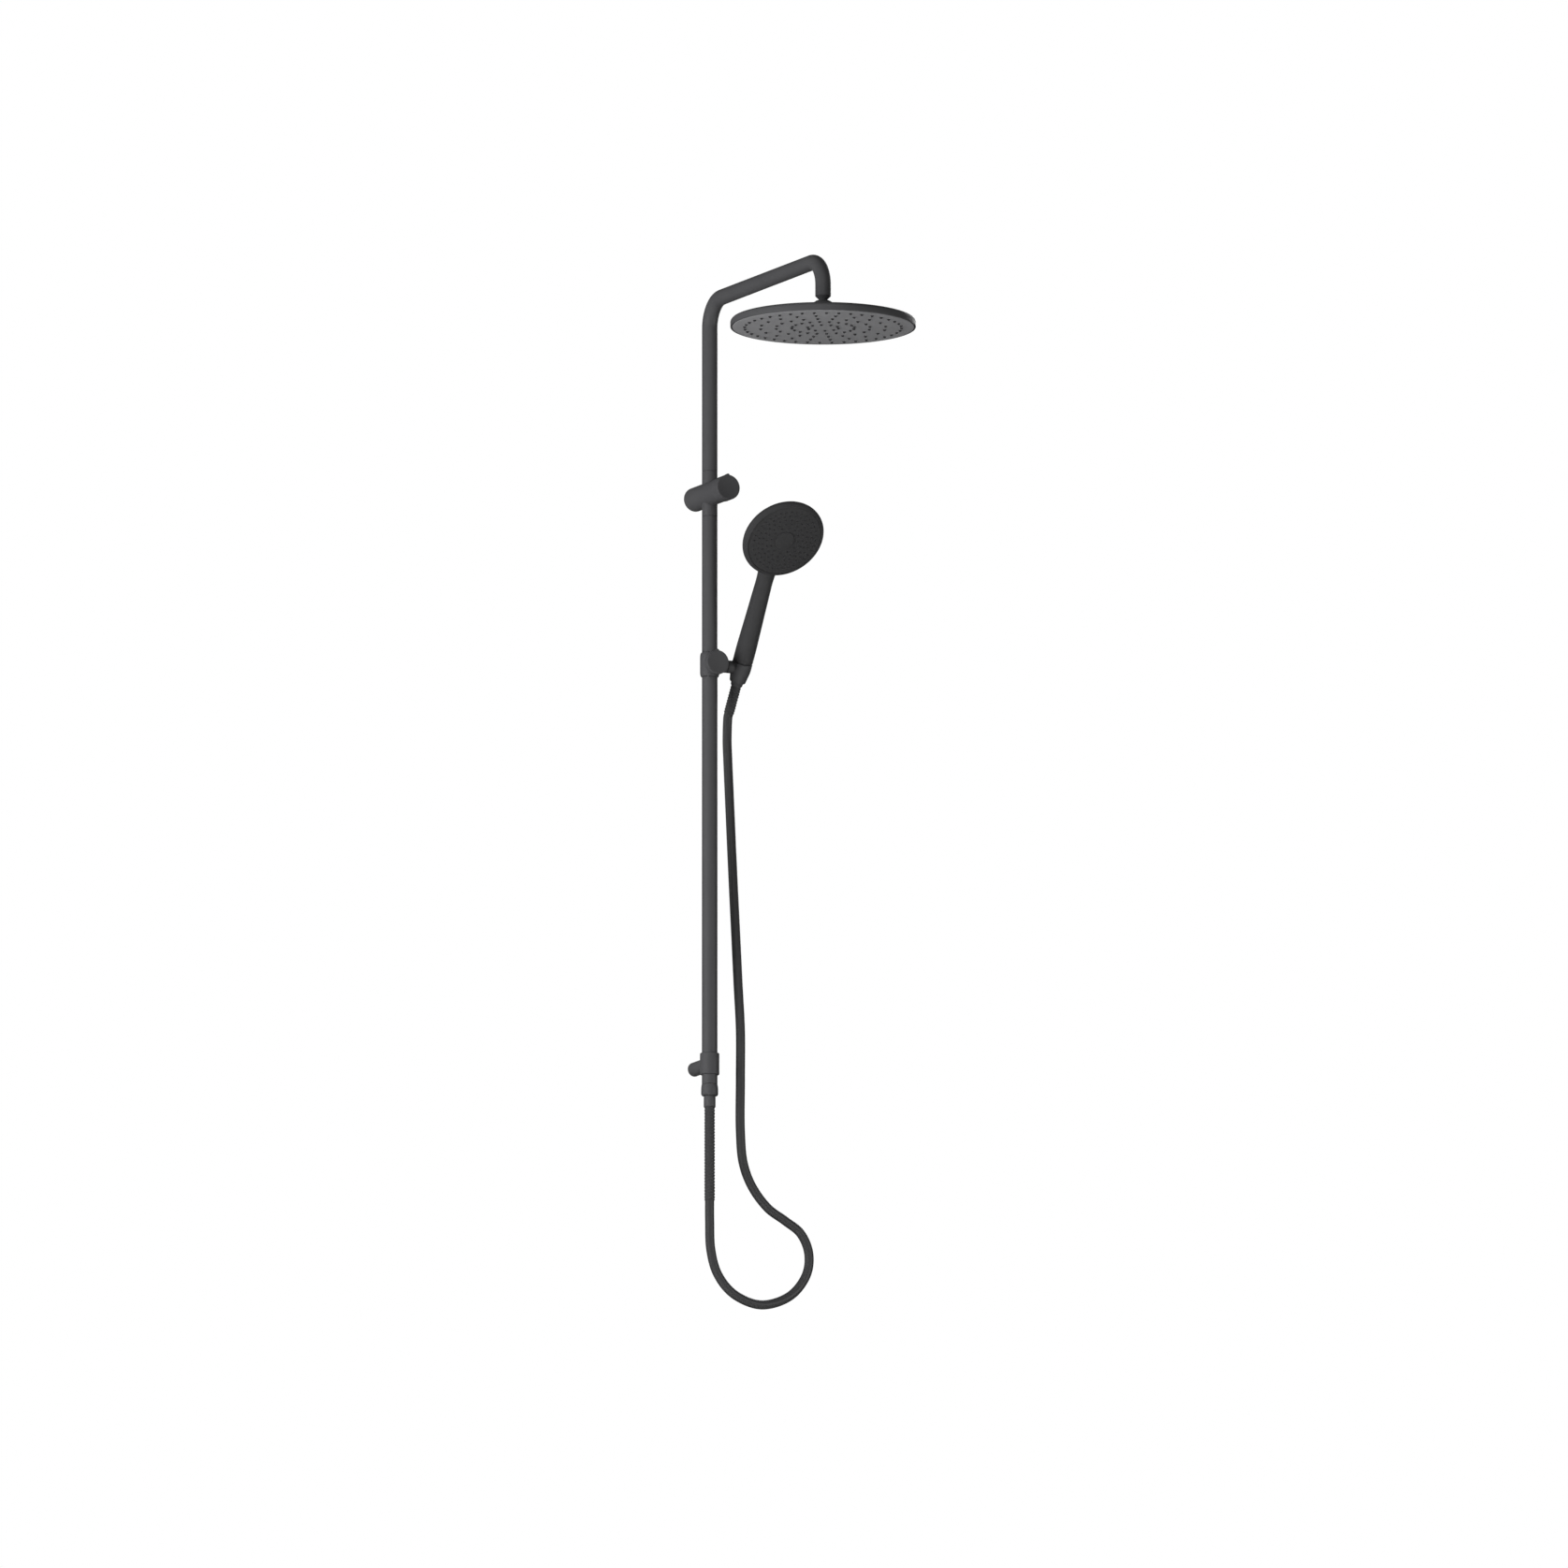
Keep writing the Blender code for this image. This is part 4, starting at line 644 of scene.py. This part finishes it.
def holder():
    """The socket is a tapered cup with a slot for the hose on its outer side: a closed outline
    swept round the handle's axis from one side of the slot to the other, and closed at both
    by the outline's centre. A hub joins it to the pivot."""
    outline = filleted([(12.3, 8.0), (14.5, 8.0), (14.5, -4.4), (11.4, -22.0), (9.2, -22.0),
                        (12.3, 8.0)], [0, 0.7, 4.0, 0.7, 0.4, 0], 6)[:-1]
    half_slot = np.radians(33)
    angle = np.linspace(half_slot, 2 * np.pi - half_slot, 72)
    radius, height = outline[:, :1], outline[:, 1:]
    grid = np.stack([radius * np.cos(angle), radius * np.sin(angle),
                     np.repeat(height, len(angle), axis=1)], axis=-1)
    ends = grid[:, [0, -1]].mean(axis=0)
    first = np.repeat(ends[None, :1], len(outline), 0)
    last = np.repeat(ends[None, 1:], len(outline), 0)
    cup = put(HANDLE, np.concatenate([first, grid, last], axis=1))
    hub = filleted([(0, SOCKET_X - 11.5), (9, SOCKET_X - 11.5), (9, 26.2), (4, 26.2)],
                   [0, 0, 0.4, 0], 4)
    piece = surface("handset_holder", (cup, ("ring", "open")),
                    spun(np.concatenate([hub, [(0, 26.2)]]), SLIDER @ TO_SIDE, 48))
    finish_piece(piece, COATED_BRASS, "holder", "black_metal", "holder_socket")


# --- Handset -----------------------------------------------------------------------------

def handset_back():
    """Handle and dome. The handle's sections are ellipses whose half width, half depth and
    forward offset follow smooth curves of the distance t up the handle: x = w cos a,
    y = d sin a - f. The dome is a quarter ellipse spun round the disc's axis: r = R cos b,
    h = -D sin b."""
    knots = np.array([8.9, 9.5, 32, 75, 133, 146, 154, 162, 176, 190, 205])
    widths = [13.7, 14.3, 14.3, 13.2, 11.9, 12.7, 14.6, 16.5, 17.0, 15.0, 9.0]
    depths = [13.7, 14.3, 14.3, 13.2, 11.9, 11.8, 11.7, 11.6, 11.0, 10.0, 7.0]
    forward = [0, 0, 0, 0, 0, 0.3, 0.9, 1.8, 4.2, 7.8, 12.0]
    t = np.concatenate([[8.9, 9.1, 9.5], np.linspace(12, 205, 90)])

    def follow(values):
        """Straight between knots, then averaged with its neighbours for soft changes."""
        line = np.interp(t, knots, values)
        core = line.copy()
        for _ in range(6):
            core[3:-1] = 0.25 * core[2:-2] + 0.5 * core[3:-1] + 0.25 * core[4:]
        return core

    width, depth, offset = follow(widths), follow(depths), follow(forward)
    angle = np.linspace(0, 2 * np.pi, 64, endpoint=False)
    grid = np.stack([width[:, None] * np.cos(angle),
                     depth[:, None] * np.sin(angle) - offset[:, None],
                     np.repeat(t[:, None], len(angle), axis=1)], axis=-1)
    a = np.radians(np.linspace(0, 90, 28))
    dome_depth = 17.5
    dome = np.stack([DISC_R * np.cos(a), -dome_depth * np.sin(a)], axis=1)
    front = [(0, 0), (DISC_R - 0.4, 0)]
    piece = surface("handset_back", (put(HANDLE, grid[::-1]), ("caps",)),
                    spun(np.concatenate([front, dome]), DISC, 112), smooth_angle=50)
    finish_piece(piece, MOULDED_ABS, "handset", "handset_black", "handset_shell")


def ring_of(count, radius, turn=0.0):
    """Places evenly round a circle: (r cos a, r sin a)."""
    angle = np.radians(turn) + np.arange(count) * 2 * np.pi / count
    return np.stack([radius * np.cos(angle), radius * np.sin(angle)], axis=1)


def nozzles(places, matrix, base, height, radius, sides=8, into=1.0):
    """One small tapered teat at each place, a six-corner profile spun round it and closed at
    both ends. into is the side of the frame's Z that the teats point to."""
    profile = np.array([(0, 0.7), (0.3, 1), (0.65, 1), (1, 0.2), (1.1, -0.2), (0, -0.2)])
    profile = profile * (radius, height)
    angle = np.linspace(0, 2 * np.pi, sides, endpoint=False)
    shape = np.stack([profile[:, :1] * np.cos(angle), profile[:, :1] * np.sin(angle),
                      np.repeat(base + into * profile[:, 1:], sides, axis=1)], axis=-1)
    shift = np.concatenate([places, np.zeros((len(places), 1))], axis=1)
    return [put(matrix, shape + s) for s in shift]


def handset_face():
    """A rim, a flat spray face, a shallow disc at its centre and five rings of nozzles, all
    spun round the disc's axis."""
    inner = DISC_R - BEZEL_W
    outline = filleted([(inner, SEAM), (inner, BEZEL_TOP), (inner + 1.0, BEZEL_TOP),
                        (DISC_R - 0.7, 3.6), (DISC_R, 1.6), (DISC_R, SEAM)],
                       [0, 0.4, 0.6, 1.6, 0.8, 0], 6)
    bezel = surface("handset_rim", (spun(outline, DISC, 112), ("ring",)))
    finish_piece(bezel, MOULDED_ABS, "handset", "handset_black", "handset_bezel")
    face_r = inner - 0.25
    top = BEZEL_TOP - 0.6
    plate = filleted([(0, top), (face_r, top), (face_r, top - 3), (0, top - 3)],
                     [0, 0.5, 0.2, 0], 4)
    finish_piece(surface("handset_face", spun(plate, DISC, 112)), HAND_FACE, "handset",
                 "grey_face", "handset_spray_plate")
    cap_r, cap_top = 14.0, top + 1.4
    cap = filleted([(0, cap_top), (cap_r, cap_top), (cap_r, top), (0, top)], [0, 0.9, 0, 0], 6)
    finish_piece(surface("handset_centre_disc", spun(cap, DISC, 64)), MOULDED_ABS, "handset",
                 "grey_face", "handset_centre_cap")
    places = np.concatenate([ring_of(12, 20.5), ring_of(18, 27, 5), ring_of(24, 33.5),
                             ring_of(30, 40), ring_of(36, 46.5, 5)])
    teats = surface("handset_nozzles", *nozzles(places, DISC, top, height=1.1, radius=1.0))
    finish_piece(teats, SILICONE, "handset", "rubber")


# --- Rain head ---------------------------------------------------------------------------

def swivel():
    """The stem and ball at the arm's end, r = R cos a and h = R sin a below the stem, and the
    nut round them, both spun round the drop's axis."""
    nut = filleted([(8.8, 11.3), (9.7, 11.3), (13.9, 8.4), (15.0, 6.3), (15.0, -14.1),
                    (12.3, -14.1)], [0, 0.4, 2.0, 1.6, 0.6, 0], 6)
    seat = [(10.6, -3.0), (10.4, 0), (8.8, 5.4)]
    sleeve("swivel_nut", np.concatenate([nut, seat]), BALL, 64, COATED_BRASS, "head",
           "black_metal", "ball_nut")
    stem = filleted([(0, 17.7), (TUBE_R, 17.7), (STEM_R, 12.4), (STEM_R, 8.35)],
                    [0, 0.5, 1.5, 0], 6)
    angle = np.radians(np.linspace(56.6, -69.5, 30))
    ball = np.stack([BALL_R * np.cos(angle), BALL_R * np.sin(angle)], axis=1)
    profile = np.concatenate([stem, ball, [(0, ball[-1][1])]])
    finish_piece(surface("swivel_ball", spun(profile, BALL, 56)), COATED_BRASS, "column",
                 "brass", "arm_ball_stem")


def rain_head():
    """A thin round casing with a quarter-round upper rim, r = R - q + q cos a and
    h = H - q + q sin a, its spray face, and the nozzles in five rings."""
    rim_r, lip_r, ledge = 5.5, FACE_R + 0.5, HEAD_UNDER + 2.6
    a = np.radians(np.linspace(90, 0, 14))
    rim = np.stack([HEAD_R - rim_r + rim_r * np.cos(a), HEAD_TOP - rim_r + rim_r * np.sin(a)], 1)
    lip = filleted([(HEAD_R, HEAD_TOP - rim_r), (HEAD_R, HEAD_UNDER + 0.2),
                    (lip_r + 0.3, HEAD_UNDER + 0.2), (lip_r, ledge)], [0, 1.6, 0.5, 0], 6)
    shell = np.concatenate([[(0, HEAD_TOP)], rim, lip[1:], [(0, ledge)]])
    finish_piece(surface("head_casing", spun(shell, BALL, 144)), COATED_BRASS, "head",
                 "black_metal", "head_shell")
    plate = filleted([(0, HEAD_UNDER + 2.2), (FACE_R, HEAD_UNDER + 2.2), (FACE_R, HEAD_UNDER),
                      (0, HEAD_UNDER)], [0, 0.2, 0.6, 0], 5)
    finish_piece(surface("head_spray_face", spun(plate, BALL, 144)), SPRAY_FACE, "head",
                 "grey_face", "head_faceplate")
    spokes, first = 20, -86.75
    places = [ring_of(2 * spokes, 110, first)]
    places += [ring_of(spokes, radius, first) for radius in (44, 66, 88)]
    places.append(ring_of(spokes // 2, 22, first))
    teats = surface("head_nozzles", *nozzles(np.concatenate(places), BALL, HEAD_UNDER,
                                             height=1.9, radius=2.3, into=-1.0))
    finish_piece(teats, SILICONE, "head", "rubber")


# --- Build -------------------------------------------------------------------------------

camera()
studio()
floor()
finish_frame_nodes()
gooseneck()
rail()
diverter()
knob("diverter_handle", Matrix.Identity(4), KNOB_R, KNOB_BACK, KNOB_FRONT, "diverter_knob",
     "diverter_knob")
bracket()
hose_ends()
hose()
slider()
knob("slider_handle", SLIDER, 17.0, 17.3, 26.9, "lock_knob", "slider_lock_knob")
holder()
handset_back()
handset_face()
swivel()
rain_head()
